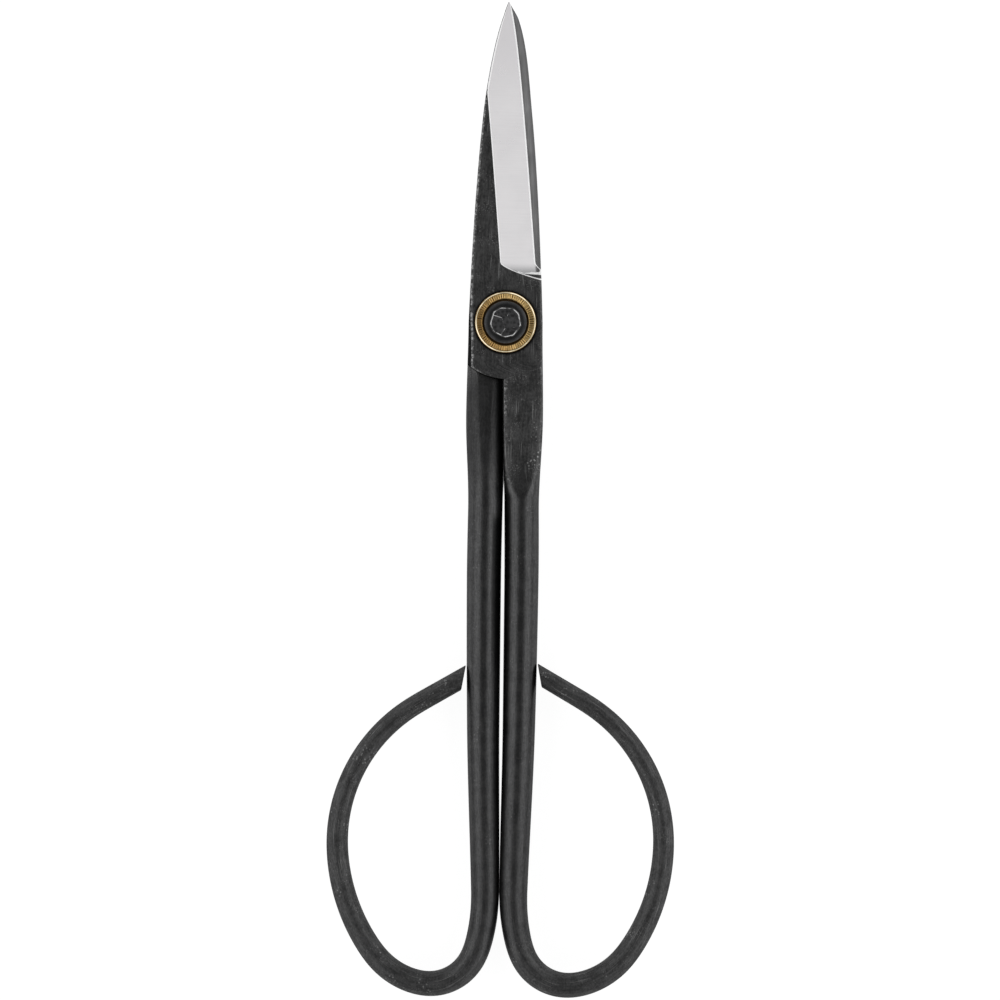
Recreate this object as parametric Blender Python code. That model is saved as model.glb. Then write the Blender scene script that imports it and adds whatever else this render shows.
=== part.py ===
"""Long-handled floral snips: two forged arms on a riveted pivot, closed and lying flat.

Units are metres. +Y runs from the pivot to the blade tips and +Z up out of the flat tool.
The origin is on the pivot axis, at the flat end of the rivet's back head.
Each arm is described with the lap plane at z = 0 and its own blade above it.
"""
import math

import bmesh
import bpy
import numpy as np
from mathutils import Vector
from mathutils.geometry import interpolate_bezier

# Blade: lengths from the pivot, half widths from the centre line.
BLADE_LENGTH = 0.0676
TIP_HALF_WIDTH = 0.00015
TIP_THICKNESS = 0.0027
SPINE_TAPER = 2.0
SPINE_REACH = 0.0620
SPINE_TIP_ANGLE = 19.0
SPINE_TIP_REACH = 0.0036
EDGE_START = 0.0145
EDGE_OFFSET = 0.0060
EDGE_TAPER = 4.7
EDGE_REACH = 0.0300
EDGE_TIP_ANGLE = 20.0
EDGE_TIP_REACH = 0.0050
EDGE_THICKNESS = 0.00025

# Ground bevel, its plunge at the heel, and the flare from the plate to the cutting edge.
BEVEL_WIDTH = 0.0074
HEEL_FLARE = 0.0031
FLARE_POWER = 2.2
PLUNGE_TOP = 0.01245
PLUNGE_FOOT = 0.00835
PLUNGE_TOP_ANGLE = 50.0
PLUNGE_FOOT_ANGLE = 13.0
PLUNGE_TOP_REACH = 0.0020
PLUNGE_FOOT_REACH = 0.0045
SHOULDER_OVERRUN = 0.0002
PLUNGE_DRAFT = 17.0

# Lap joint: two plates, one on each side of the lap plane, inside an arc about the pivot.
PLATE_THICKNESS = 0.0034
PLATE_HALF_WIDTH = 0.0078
FAR_SIDE_START = 0.0080
FAR_SIDE_LENGTH = 0.0170
FAR_SIDE_INSET = 0.00075
LAP_GAP = 0.0003
LAP_RADIUS = 0.0118
LAP_CLEARANCE = 0.0003
CORNER_ROUND = 0.0005

# Neck: the plate runs out onto the round shank.
NECK_LENGTH = 0.0400
NECK_HALF_WIDTH = 0.0081
NECK_WIDEST = 0.0200
NECK_BACK_ROUND = 0.0028
NECK_ROUND_POWER = 3.5
NECK_BACK_DEPTH = 0.0014
NECK_BACK_LENGTH = 0.0142

# Shank: distance from the pivot to the first bend, diameters, and the gap between the shanks.
SHANK_LENGTH = 0.1184
SHANK_DIAMETER = 0.0074
SHANK_END_DIAMETER = 0.0061
SHANK_GAP = 0.0003
SHANK_RELIEF = 0.00015

# Finger bow: bend radii at the middle of the rod and bend angles, from the shank to the free end.
LEAD_BEND_RADIUS = 0.0430
LEAD_BEND_ANGLE = 18.7
FOOT_BEND_RADIUS = 0.0102
FOOT_BEND_ANGLE = 83.8
CORNER_BEND_RADIUS = 0.0166
CORNER_BEND_ANGLE = 43.9
SIDE_BEND_RADIUS = 0.0404
SIDE_BEND_ANGLE = 34.2
TOP_BEND_RADIUS = 0.0342
TAIL_HEADING = 150.0
BOW_END_DIAMETER = 0.0040
BOW_TAPER_POWER = 1.7
BOW_END_SLANT = 38.0
BOW_END_GAP = 0.0003

# Pivot stack: rivet, brass cup washer and dished spring washer.
RIVET_DIAMETER = 0.0050
RIVET_CLEARANCE = 0.0003
HEAD_WIDTH = 0.0066
HEAD_HEIGHT = 0.0013
HEAD_SIDE_HEIGHT = 0.0006
HEAD_SIDES = 9
HEAD_FLAT_DIAMETER = 0.0042
CUP_DIAMETER = 0.0129
CUP_RECESS_DIAMETER = 0.0095
CUP_HEIGHT = 0.0011
CUP_FLOOR = 0.0005
CUP_CHAMFER = 0.0002
DISH_THICKNESS = 0.0005
DISH_RISE = 0.0003
SEAT_GAP = 0.0002

# Facets.
CORNER_POINTS = 5
BLADE_STATIONS = 16
TIP_CROWDING = 1.5
BEVEL_STATIONS = 40
FLARE_STATIONS = 4
PLATE_STATIONS = 5
NECK_STATIONS = 9
SHANK_STATIONS = 8
BEND_STEP = 6.0
CURVE_POINTS = 60
PLUNGE_POINT_STEP = 6
ROUND_STEPS = 36
SHARP_ANGLE = math.radians(30)

# Cutters reach this far past what they cut, and directions are taken over this short a step.
CUT_MARGIN = 0.0020
HEADING_STEP = 0.0001

# Stack heights above the lap plane.
PLATE_FACE = LAP_GAP / 2 + PLATE_THICKNESS
CUP_SEAT = PLATE_FACE + SEAT_GAP
DISH_SEAT = CUP_SEAT + CUP_FLOOR + SEAT_GAP
HEAD_SEAT = DISH_SEAT + DISH_RISE + DISH_THICKNESS + SEAT_GAP
HEAD_TOP = HEAD_SEAT + HEAD_HEIGHT
BORE_RADIUS = RIVET_DIAMETER / 2 + RIVET_CLEARANCE


def heading_vector(degrees):
    return Vector((math.cos(math.radians(degrees)), math.sin(math.radians(degrees))))


def curve_between(start, leave, leave_reach, end, arrive, arrive_reach):
    """Points of a cubic curve that leaves start and arrives at end along the given headings."""
    start = Vector(start)
    end = Vector(end)
    first = start + heading_vector(leave) * leave_reach
    second = end - heading_vector(arrive) * arrive_reach
    points = interpolate_bezier(start, first, second, end, CURVE_POINTS)
    return np.array([point[:2] for point in points])


SPINE = curve_between((PLATE_HALF_WIDTH, 0), 90 + SPINE_TAPER, SPINE_REACH,
                      (TIP_HALF_WIDTH, BLADE_LENGTH), 90 + SPINE_TIP_ANGLE, SPINE_TIP_REACH)
EDGE = curve_between((EDGE_OFFSET, EDGE_START), 90 + EDGE_TAPER, EDGE_REACH,
                     (TIP_HALF_WIDTH, BLADE_LENGTH), 90 + EDGE_TIP_ANGLE, EDGE_TIP_REACH)


def ease(value):
    value = min(max(value, 0.0), 1.0)
    return value * value * (3 - 2 * value)


def spine_x(y):
    """Half width of the blade's back and of the plate above the pivot."""
    return float(np.interp(y, SPINE[:, 1], SPINE[:, 0]))


def edge_x(y):
    """Reach of the cutting edge past the centre line, run on straight below its heel."""
    before_heel = max(EDGE_START - y, 0) * math.tan(math.radians(EDGE_TAPER))
    return float(np.interp(y, EDGE[:, 1], EDGE[:, 0])) + before_heel


def shank_radius(y):
    """The shank keeps its diameter under the neck and thins faster towards the bow."""
    along = (-y - NECK_LENGTH) / (SHANK_LENGTH - NECK_LENGTH)
    along = min(max(along, 0.0), 1.0)
    return (SHANK_DIAMETER - (SHANK_DIAMETER - SHANK_END_DIAMETER) * along ** 2) / 2


def shank_inner_x(y):
    """Inner side of the shank: closest at the lap and at the first bend, relieved between."""
    along = (-y - LAP_RADIUS) / (SHANK_LENGTH - LAP_RADIUS)
    return SHANK_GAP / 2 + SHANK_RELIEF * math.sin(math.pi * min(max(along, 0.0), 1.0))


def shank_outer_x(y):
    return shank_inner_x(y) + 2 * shank_radius(y)


def neck_outer_x(y):
    """Outer side from the plate over the swell of the neck to the shank."""
    if y > -NECK_WIDEST:
        return PLATE_HALF_WIDTH + (NECK_HALF_WIDTH - PLATE_HALF_WIDTH) * ease(-y / NECK_WIDEST)
    along = ease((-y - NECK_WIDEST) / (NECK_LENGTH - NECK_WIDEST))
    return NECK_HALF_WIDTH + (shank_outer_x(y) - NECK_HALF_WIDTH) * along


def far_x(y):
    """Other side of the blade and the plate, drawn in a little below the heel."""
    side = spine_x(y) if y > 0 else neck_outer_x(y)
    return FAR_SIDE_INSET * ease((FAR_SIDE_START - y) / FAR_SIDE_LENGTH) - side


def outer_x(y):
    """Outer side of the plate on the cutting-edge side, the neck and the shank."""
    if y >= EDGE_START:
        return edge_x(y)
    flare_start = EDGE_START - HEEL_FLARE
    if y > flare_start:
        step_in = spine_x(flare_start) - edge_x(flare_start)
        return edge_x(y) + step_in * ((EDGE_START - y) / HEEL_FLARE) ** FLARE_POWER
    return spine_x(y) if y > 0 else neck_outer_x(y)


def face_z(y):
    """Height of the outer face: the blade thins to its tip, the neck meets the round shank."""
    if y > 0:
        along = max(y - PLUNGE_TOP, 0) / (BLADE_LENGTH - PLUNGE_TOP)
        return PLATE_FACE - (PLATE_THICKNESS - TIP_THICKNESS) * along
    along = ease((-y - LAP_RADIUS) / (NECK_LENGTH - LAP_RADIUS))
    return PLATE_FACE + (shank_radius(y) - PLATE_FACE) * along


def back_z(y):
    """Depth behind the lap plane: the neck's back falls from the lap to the round shank."""
    along = ease((-y - LAP_RADIUS) / NECK_BACK_LENGTH)
    return -NECK_BACK_DEPTH - (shank_radius(y) - NECK_BACK_DEPTH) * along


def section(low_x, high_x, low_z, high_z, face_round, back_round):
    """Rounded rectangle in x and z, whose sides touch the four limits."""
    half_angle = math.radians(45 / CORNER_POINTS)
    limit = min(high_x - low_x, high_z - low_z) / 2
    corners = ((high_x, high_z, 1, 1, face_round), (low_x, high_z, -1, 1, face_round),
               (low_x, low_z, -1, -1, back_round), (high_x, low_z, 1, -1, back_round))
    points = []
    for quarter, (x, z, side_x, side_z, radius) in enumerate(corners):
        radius = min(radius, limit)
        for step in range(CORNER_POINTS):
            angle = quarter * math.pi / 2 + half_angle * (2 * step + 1)
            points.append((x - side_x * radius + radius * math.cos(angle) / math.cos(half_angle),
                           z - side_z * radius + radius * math.sin(angle) / math.cos(half_angle)))
    return points


def straight_ring(y, low_x, face_round, back_round):
    """Ring of the blank across the centre line, for the blade, plate, neck and shank."""
    profile = section(low_x, outer_x(y), back_z(y), face_z(y), face_round, back_round)
    return [(x, y, z) for x, z in profile]


def blade_rings():
    """From the tip to the arc of the lap, with stock behind it: the lap is cut out afterwards."""
    along = np.linspace(0, 1, BLADE_STATIONS)
    stations = list(BLADE_LENGTH - (BLADE_LENGTH - EDGE_START) * along ** TIP_CROWDING)
    flare_start = EDGE_START - HEEL_FLARE
    stations += list(np.linspace(EDGE_START, flare_start, FLARE_STATIONS + 1)[1:])
    stations += list(np.linspace(flare_start, LAP_CLEARANCE - LAP_RADIUS, PLATE_STATIONS + 1)[1:])
    return [straight_ring(y, far_x(y), CORNER_ROUND, NECK_BACK_ROUND) for y in stations]


def neck_rings():
    """From the lap, where only the arm's own side is left, to the round shank."""
    rings = []
    for y in np.linspace(-LAP_RADIUS, -NECK_LENGTH, NECK_STATIONS):
        along = (-y - LAP_RADIUS) / (NECK_LENGTH - LAP_RADIUS)
        radius = shank_radius(y)
        face_round = CORNER_ROUND + (radius - CORNER_ROUND) * along ** NECK_ROUND_POWER
        back_round = NECK_BACK_ROUND + (radius - NECK_BACK_ROUND) * along
        rings.append(straight_ring(y, shank_inner_x(y), face_round, back_round))
    return rings


def shank_rings():
    stations = np.linspace(-NECK_LENGTH, -SHANK_LENGTH, SHANK_STATIONS)[1:]
    return [straight_ring(y, shank_inner_x(y), shank_radius(y), shank_radius(y)) for y in stations]


def bow_path():
    """Points and headings of the bow's centre line, from the end of the shank."""
    centre = [shank_inner_x(y) + shank_radius(y) for y in (HEADING_STEP - SHANK_LENGTH, -SHANK_LENGTH)]
    heading = -90 + math.degrees(math.atan((centre[1] - centre[0]) / HEADING_STEP))
    bends = [(LEAD_BEND_RADIUS, LEAD_BEND_ANGLE), (FOOT_BEND_RADIUS, FOOT_BEND_ANGLE),
             (CORNER_BEND_RADIUS, CORNER_BEND_ANGLE), (SIDE_BEND_RADIUS, SIDE_BEND_ANGLE)]
    bends.append((TOP_BEND_RADIUS, TAIL_HEADING - heading - sum(angle for _, angle in bends)))
    point = Vector((centre[1], -SHANK_LENGTH))
    path = [(point, heading)]
    for radius, angle in bends:
        middle = point + heading_vector(heading + 90) * radius
        steps = math.ceil(angle / BEND_STEP)
        for step in range(1, steps + 1):
            turned = heading + angle * step / steps
            path.append((middle - heading_vector(turned + 90) * radius, turned))
        point, heading = path[-1]
    return path


def bow_rings():
    """Round rod along the bow, thinning to a free end that is cut at a slant beside the shank."""
    path = bow_path()
    bend_end, heading = path[-1]
    along = heading_vector(heading)
    end_radius = BOW_END_DIAMETER / 2
    corner = bend_end - heading_vector(heading + 90) * end_radius
    tail = (shank_outer_x(corner.y) + BOW_END_GAP - corner.x) / along.x
    path.append((bend_end + along * tail, heading))

    points = np.array([point for point, _ in path])
    lengths = np.append(0, np.cumsum(np.hypot(*np.diff(points, axis=0).T)))
    remaining = 1 - lengths / lengths[-1]
    radii = end_radius + (SHANK_END_DIAMETER / 2 - end_radius) * remaining ** BOW_TAPER_POWER

    slant = math.tan(math.radians(BOW_END_SLANT))
    rings = []
    for (point, heading), radius in zip(path[1:], radii[1:]):
        across = heading_vector(heading + 90)
        last = point is path[-1][0]
        ring = []
        for side, z in section(-radius, radius, -radius, radius, radius, radius):
            back = (radius + side) * slant if last else 0
            place = point + across * side - heading_vector(heading) * back
            ring.append((place.x, place.y, z))
        rings.append(ring)
    return rings


def lofted(rings):
    """Closed skin over a row of rings with equal point counts."""
    shape = bmesh.new()
    rows = [[shape.verts.new(point) for point in ring] for ring in rings]
    for first, second in zip(rows, rows[1:]):
        for index in range(len(first)):
            after = (index + 1) % len(first)
            shape.faces.new((first[index], first[after], second[after], second[index]))
    shape.faces.new(rows[0])
    shape.faces.new(rows[-1])
    return shape


def extruded(outline, low, high, drift=0.0):
    """Prism over an outline, whose top is moved along Y by drift."""
    shape = bmesh.new()
    floor = shape.faces.new([shape.verts.new((x, y, low)) for x, y in outline])
    top = bmesh.ops.extrude_face_region(shape, geom=[floor])["geom"]
    corners = [item for item in top if isinstance(item, bmesh.types.BMVert)]
    bmesh.ops.translate(shape, verts=corners, vec=(0, drift, high - low))
    return shape


def turned(profile):
    """Ring turned about the Z axis from a closed profile of radius and height."""
    shape = bmesh.new()
    corners = [shape.verts.new((radius, 0, z)) for radius, z in profile]
    edges = [shape.edges.new((corners[i - 1], corners[i])) for i in range(len(corners))]
    bmesh.ops.spin(shape, geom=corners + edges, cent=(0, 0, 0), axis=(0, 0, 1), angle=math.tau,
                   steps=ROUND_STEPS, use_merge=True)
    return shape


def placed(name, shape, parent, material):
    """Named object from a finished bmesh, hung on its parent."""
    bmesh.ops.recalc_face_normals(shape, faces=shape.faces)
    mesh = bpy.data.meshes.new(name)
    shape.to_mesh(mesh)
    shape.free()
    mesh.materials.append(material)
    mesh.shade_smooth()
    mesh.set_sharp_from_angle(angle=SHARP_ANGLE)
    item = bpy.data.objects.new(name, mesh)
    item.parent = parent
    bpy.context.scene.collection.objects.link(item)
    return item


def boolean(target, cutter, operation):
    """Cut the target with a cutter that stays a hidden wire guide."""
    cutter.hide_render = True
    cutter.display_type = "WIRE"
    cut = target.modifiers.new(cutter.name, "BOOLEAN")
    cut.operation = operation
    cut.solver = "EXACT"
    cut.object = cutter
    cut.material_mode = "TRANSFER"


def apply_cuts(target):
    """Keep the cut shape as the target's own mesh, shade its new edges sharp, remove the cutters."""
    graph = bpy.context.evaluated_depsgraph_get()
    mesh = bpy.data.meshes.new_from_object(target.evaluated_get(graph))
    target.modifiers.clear()
    target.data = mesh
    mesh.name = target.name
    mesh.set_sharp_from_angle(angle=SHARP_ANGLE)
    for cutter in list(target.children):
        bpy.data.objects.remove(cutter)


def metal(name, colour, roughness, metallic):
    material = bpy.data.materials.new(name)
    material.use_nodes = True
    shader = material.node_tree.nodes["Principled BSDF"]
    shader.inputs["Base Color"].default_value = (*colour, 1)
    shader.inputs["Roughness"].default_value = roughness
    shader.inputs["Metallic"].default_value = metallic
    return material


def arc(radius, start, end, count):
    """Points about the pivot from one angle in degrees to another."""
    angles = np.radians(np.linspace(start, end, count))
    return [(radius * math.cos(angle), radius * math.sin(angle)) for angle in angles]


def lap_cutter_shape():
    """Everything under the lap plane inside the arc of the joint and along the blade."""
    radius = LAP_RADIUS + LAP_CLEARANCE
    tip = BLADE_LENGTH + CUT_MARGIN
    outline = arc(radius, -180, 0, ROUND_STEPS) + [(radius, tip), (-radius, tip)]
    return extruded(outline, -SHANK_DIAMETER, LAP_GAP / 2)


def other_side_cutter_shape():
    """The other arm's side below the plate, left of the centre gap and outside the arc of the lap."""
    inner = SHANK_GAP / 2
    outside = LAP_RADIUS + CUT_MARGIN
    start = -math.degrees(math.acos(inner / LAP_RADIUS))
    end = -180 + math.degrees(math.acos((NECK_HALF_WIDTH + CUT_MARGIN) / LAP_RADIUS))
    outline = arc(LAP_RADIUS, start, end, ROUND_STEPS)
    outline += [(-outside, outline[-1][1]), (-outside, -outside - CUT_MARGIN)]
    outline.append((inner, -outside - CUT_MARGIN))
    return extruded(outline, -SHANK_DIAMETER, SHANK_DIAMETER)


def bevel_slab_shape():
    """Slab above the ground bevel, ruled from the shoulder on the face down to the cutting edge."""
    top = PLATE_FACE + CUT_MARGIN
    rings = []
    for y in np.linspace(PLUNGE_FOOT - 2 * CUT_MARGIN, BLADE_LENGTH + CUT_MARGIN, BEVEL_STATIONS):
        edge = edge_x(min(y, BLADE_LENGTH))
        edge_z = LAP_GAP / 2 + EDGE_THICKNESS
        fall = (face_z(min(y, BLADE_LENGTH)) - edge_z) / BEVEL_WIDTH
        left = edge - BEVEL_WIDTH - CUT_MARGIN
        right = edge + CUT_MARGIN
        rings.append([(left, y, edge_z + fall * (edge - left)), (right, y, edge_z - fall * CUT_MARGIN),
                      (right, y, top), (left, y, top)])
    return lofted(rings)


def plunge_outline():
    """Plan of the ground area: the plunge curve at the heel, then left of the shoulder to the tip."""
    shoulder = edge_x(PLUNGE_TOP) - BEVEL_WIDTH
    corner = (shoulder + SHOULDER_OVERRUN, PLUNGE_TOP)
    foot = (PLATE_HALF_WIDTH + CUT_MARGIN, PLUNGE_FOOT)
    curve = curve_between(corner, -PLUNGE_TOP_ANGLE, PLUNGE_TOP_REACH,
                          foot, -PLUNGE_FOOT_ANGLE, PLUNGE_FOOT_REACH)
    left = edge_x(EDGE_START) - BEVEL_WIDTH - SHOULDER_OVERRUN
    tip_y = BLADE_LENGTH + 2 * CUT_MARGIN
    outline = [tuple(point) for point in curve[::PLUNGE_POINT_STEP]]
    outline += [foot, (foot[0], tip_y), (-foot[0], tip_y), (-foot[0], BLADE_LENGTH)]
    outline.append((left, EDGE_START))
    return outline


def make_arm(name, parent, turn, finishes):
    """One forged arm with its lap, ground blade and rivet bore."""
    black, ground, polished = finishes
    arm = placed(name, lofted(blade_rings() + neck_rings() + shank_rings() + bow_rings()), parent, black)
    arm.rotation_euler = (0, turn, 0)

    other_side = placed(name + "_other_side_cutter", other_side_cutter_shape(), arm, black)
    boolean(arm, other_side, "DIFFERENCE")

    lap = placed(name + "_lap_cutter", lap_cutter_shape(), arm, ground)
    boolean(arm, lap, "DIFFERENCE")

    bevel = placed(name + "_bevel_cutter", bevel_slab_shape(), arm, polished)
    drop = PLATE_THICKNESS + 2 * CUT_MARGIN
    drift = -drop * math.tan(math.radians(PLUNGE_DRAFT))
    plunge_shape = extruded(plunge_outline(), PLATE_FACE - drop, PLATE_FACE, drift)
    bmesh.ops.translate(plunge_shape, verts=plunge_shape.verts, vec=(0, -drift, 0))
    plunge = placed(name + "_plunge_cutter", plunge_shape, arm, polished)
    boolean(bevel, plunge, "INTERSECT")
    boolean(arm, bevel, "DIFFERENCE")

    bore_outline = arc(BORE_RADIUS, 0, 360, ROUND_STEPS + 1)[:-1]
    bore = placed(name + "_bore_cutter", extruded(bore_outline, -SHANK_DIAMETER, SHANK_DIAMETER), arm, ground)
    boolean(arm, bore, "DIFFERENCE")
    apply_cuts(arm)


def cup_washer_shape():
    """Brass cup: a floor under the dished washer inside a raised, chamfered rim."""
    outer = CUP_DIAMETER / 2
    recess = CUP_RECESS_DIAMETER / 2
    top = CUP_SEAT + CUP_HEIGHT
    floor = CUP_SEAT + CUP_FLOOR
    return turned([(BORE_RADIUS, CUP_SEAT), (outer, CUP_SEAT), (outer, top - CUP_CHAMFER),
                   (outer - CUP_CHAMFER, top), (recess + CUP_CHAMFER, top), (recess, top - CUP_CHAMFER),
                   (recess, floor), (BORE_RADIUS, floor)])


def dished_washer_shape():
    """Dished ring that stands on its rim in the cup and rises to the rivet's head."""
    outer = CUP_RECESS_DIAMETER / 2 - RIVET_CLEARANCE
    return turned([(outer, DISH_SEAT), (outer, DISH_SEAT + DISH_THICKNESS),
                   (BORE_RADIUS, DISH_SEAT + DISH_RISE + DISH_THICKNESS), (BORE_RADIUS, DISH_SEAT + DISH_RISE)])


def polygon_radius(angle, apothem, sides):
    """Radius of a regular polygon at an angle, given the distance to its sides."""
    part = math.tau / sides
    return apothem / math.cos((angle % part) - part / 2)


def rivet_ring(radius, z, sides=0):
    angles = [math.tau * step / ROUND_STEPS for step in range(ROUND_STEPS)]
    radii = [polygon_radius(angle, radius, sides) if sides else radius for angle in angles]
    return [(r * math.cos(a), r * math.sin(a), z) for r, a in zip(radii, angles)]


def rivet_shape():
    """Turned back head with a flat end, plain shank, and a peened front head with flat sides."""
    head = HEAD_WIDTH / 2
    flat = HEAD_FLAT_DIAMETER / 2
    pin = RIVET_DIAMETER / 2
    side_top = HEAD_SEAT + HEAD_SIDE_HEIGHT
    rings = [rivet_ring(flat, -HEAD_TOP), rivet_ring(head, -side_top), rivet_ring(head, -HEAD_SEAT),
             rivet_ring(pin, -HEAD_SEAT), rivet_ring(pin, HEAD_SEAT),
             rivet_ring(head, HEAD_SEAT, HEAD_SIDES), rivet_ring(head, side_top, HEAD_SIDES),
             rivet_ring(flat, HEAD_TOP, HEAD_SIDES)]
    return lofted(rings)


def main():
    for item in list(bpy.data.objects):
        bpy.data.objects.remove(item)

    black = metal("blackened_steel", (0.035, 0.035, 0.035), 0.45, 0.7)
    ground = metal("ground_steel", (0.35, 0.35, 0.36), 0.35, 1.0)
    polished = metal("polished_steel", (0.72, 0.72, 0.73), 0.2, 1.0)
    brass = metal("brass", (0.55, 0.36, 0.11), 0.3, 1.0)
    rivet_steel = metal("rivet_steel", (0.05, 0.055, 0.06), 0.4, 0.8)
    spring_steel = metal("spring_steel", (0.03, 0.03, 0.032), 0.35, 0.8)

    axis = bpy.data.objects.new("pivot_axis", None)
    axis.location = (0, 0, HEAD_TOP)
    bpy.context.scene.collection.objects.link(axis)

    finishes = (black, ground, polished)
    make_arm("front_arm", axis, 0, finishes)
    make_arm("back_arm", axis, math.pi, finishes)
    placed("pivot_rivet", rivet_shape(), axis, rivet_steel)
    for side, turn in (("front", 0), ("back", math.pi)):
        for piece, shape, material in (("brass_washer", cup_washer_shape(), brass),
                                       ("spring_washer", dished_washer_shape(), spring_steel)):
            washer = placed(side + "_" + piece, shape, axis, material)
            washer.rotation_euler = (0, turn, 0)


main()
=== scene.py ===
import math

import bpy
import numpy as np
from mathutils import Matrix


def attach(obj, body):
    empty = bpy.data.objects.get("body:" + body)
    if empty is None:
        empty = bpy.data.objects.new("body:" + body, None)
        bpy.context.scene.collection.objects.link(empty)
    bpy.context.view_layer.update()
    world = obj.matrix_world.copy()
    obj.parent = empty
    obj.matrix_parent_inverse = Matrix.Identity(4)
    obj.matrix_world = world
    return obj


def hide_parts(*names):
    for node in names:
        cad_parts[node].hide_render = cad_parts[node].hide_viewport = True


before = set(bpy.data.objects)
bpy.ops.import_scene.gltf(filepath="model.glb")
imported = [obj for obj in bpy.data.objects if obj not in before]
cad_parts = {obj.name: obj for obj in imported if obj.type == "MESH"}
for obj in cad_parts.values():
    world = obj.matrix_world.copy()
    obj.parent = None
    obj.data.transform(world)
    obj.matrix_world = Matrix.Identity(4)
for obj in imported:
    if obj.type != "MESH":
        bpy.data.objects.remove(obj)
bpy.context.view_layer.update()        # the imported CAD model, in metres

mm = 0.001
lapHeight = 6.75  # the lap plane above the table; sizes below are in millimetres and degrees


class Wire:  # a shader socket that can be written in sums
    def __init__(self, tree, socket):
        self.tree = tree
        self.socket = socket

    def node(self, kind, settings, values, out=0):  # new node: settings first, then its sockets
        made = self.tree.nodes.new(kind)
        for key, value in settings.items():
            setattr(made, key, value)
        for key, value in values.items():
            if isinstance(value, Wire):
                self.tree.links.new(value.socket, made.inputs[key])
            else:
                made.inputs[key].default_value = value
        return Wire(self.tree, made.outputs[out])

    def maths(self, operation, first, second):
        return self.node("ShaderNodeMath", {"operation": operation}, {0: first, 1: second})

    def __add__(self, other):
        return self.maths("ADD", self, other)

    def __radd__(self, other):
        return self.maths("ADD", other, self)

    def __sub__(self, other):
        return self.maths("SUBTRACT", self, other)

    def __rsub__(self, other):
        return self.maths("SUBTRACT", other, self)

    def __mul__(self, other):
        return self.maths("MULTIPLY", self, other)

    def __rmul__(self, other):
        return self.maths("MULTIPLY", other, self)

    def ramp(self, low, high):  # 0 below low, 1 above high, eased between
        return self.node("ShaderNodeMapRange", {"interpolation_type": "SMOOTHSTEP"},
                         {"Value": self, "From Min": low, "From Max": high})

    def mix(self, first, second):  # colours blended by this value
        return self.node("ShaderNodeMix", {"data_type": "RGBA"}, {0: self, 6: first, 7: second}, 2)

    def stretched(self, x, y, z):  # this vector with each axis multiplied
        return self.node("ShaderNodeVectorMath", {"operation": "MULTIPLY"}, {0: self, 1: (x, y, z)})

    def axis(self, name):  # the X, Y or Z of this vector
        return self.node("ShaderNodeSeparateXYZ", {}, {0: self}, name)

    def reach(self):  # distance of this place from the pivot's axis
        flat = self.stretched(1, 1, 0)
        return self.node("ShaderNodeVectorMath", {"operation": "LENGTH"}, {0: flat}, "Value")

    def noise(self, scale, detail=2.0, roughness=0.5):
        return self.node("ShaderNodeTexNoise", {},
                         {"Vector": self, "Scale": scale, "Detail": detail, "Roughness": roughness})

    def streaks(self, x, y, z, detail):  # noise with its own repeats along each axis
        return self.stretched(x, y, z).noise(1.0, detail)

    def cells(self, scale):  # distance to the nearest of scattered points
        return self.node("ShaderNodeTexVoronoi", {}, {"Vector": self, "Scale": scale})

    def field(self, name):  # a value that the mesh keeps at its points
        return self.node("ShaderNodeAttribute", {"attribute_name": name}, {}, "Fac")

    def unrolled(self):  # the piece's own map: round its section, and along it
        return self.node("ShaderNodeUVMap", {"uv_map": "along"}, {})


def grey(level):
    return (level, level, level, 1)


def weighed(parts, *wires):  # sum of values, each times its part
    total = parts[0] * wires[0]
    for part, wire in zip(parts[1:], wires[1:]):
        total = total + part * wire
    return total


def newFinish(name, fixed):  # material, its shader with the fixed numbers set, and the place on the piece
    material = bpy.data.materials.new(name)
    material.use_nodes = True
    shader = material.node_tree.nodes["Principled BSDF"]
    for key, value in fixed.items():
        shader.inputs[key].default_value = value
    start = Wire(material.node_tree, shader.outputs[0])
    return material, shader, start.node("ShaderNodeTexCoord", {}, {}, "Object")


def feed(shader, key, wire):  # a varying value into one of the shader's sockets
    wire.tree.links.new(wire.socket, shader.inputs[key])


def bump(shader, height, strength, distance):  # height times a distance in metres, into the shader's normal
    values = {"Height": height, "Strength": strength, "Distance": distance}
    feed(shader, "Normal", height.node("ShaderNodeBump", {}, values))


def ease(value):  # smooth step: v squared times three less two v, held between 0 and 1
    value = np.clip(value, 0, 1)
    return value * value * (3 - 2 * value)


def between(value, span):  # eased way from the first to the second of two places
    return ease((value - span[0]) / (span[1] - span[0]))


def softMax(first, second, width):  # the larger of two heights, with a parabola where they are within width
    near = np.maximum(width - np.abs(first - second), 0) / width
    return np.maximum(first, second) + near * near * width / 4


def turnedAbout(points):  # half a turn about the Y axis: x and z change sign
    return points * np.array([-1, 1, -1])


def makePiece(name, points, faces, finishes, faceFinish, attributes, uvs, sharp):
    # points in millimetres from the lap plane, faces as index lists, one finish index and uv set a face
    mesh = bpy.data.meshes.new(name)
    placed = (points + np.array([0, 0, lapHeight])) * mm
    mesh.from_pydata(placed.tolist(), [], faces)
    for finish in finishes:
        mesh.materials.append(finish)
    mesh.polygons.foreach_set("material_index", np.asarray(faceFinish, dtype=np.int32))
    layer = mesh.uv_layers.new(name="along")
    layer.data.foreach_set("uv", np.asarray(uvs, dtype=np.float32).ravel())
    for key, values in attributes.items():
        kept = mesh.attributes.new(key, "FLOAT", "POINT")
        kept.data.foreach_set("value", np.asarray(values, dtype=np.float32).ravel())
    mesh.shade_smooth()
    mesh.set_sharp_from_angle(angle=math.radians(sharp))
    mesh.update()
    piece = bpy.data.objects.new(name, mesh)
    bpy.context.scene.collection.objects.link(piece)
    return piece


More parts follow.
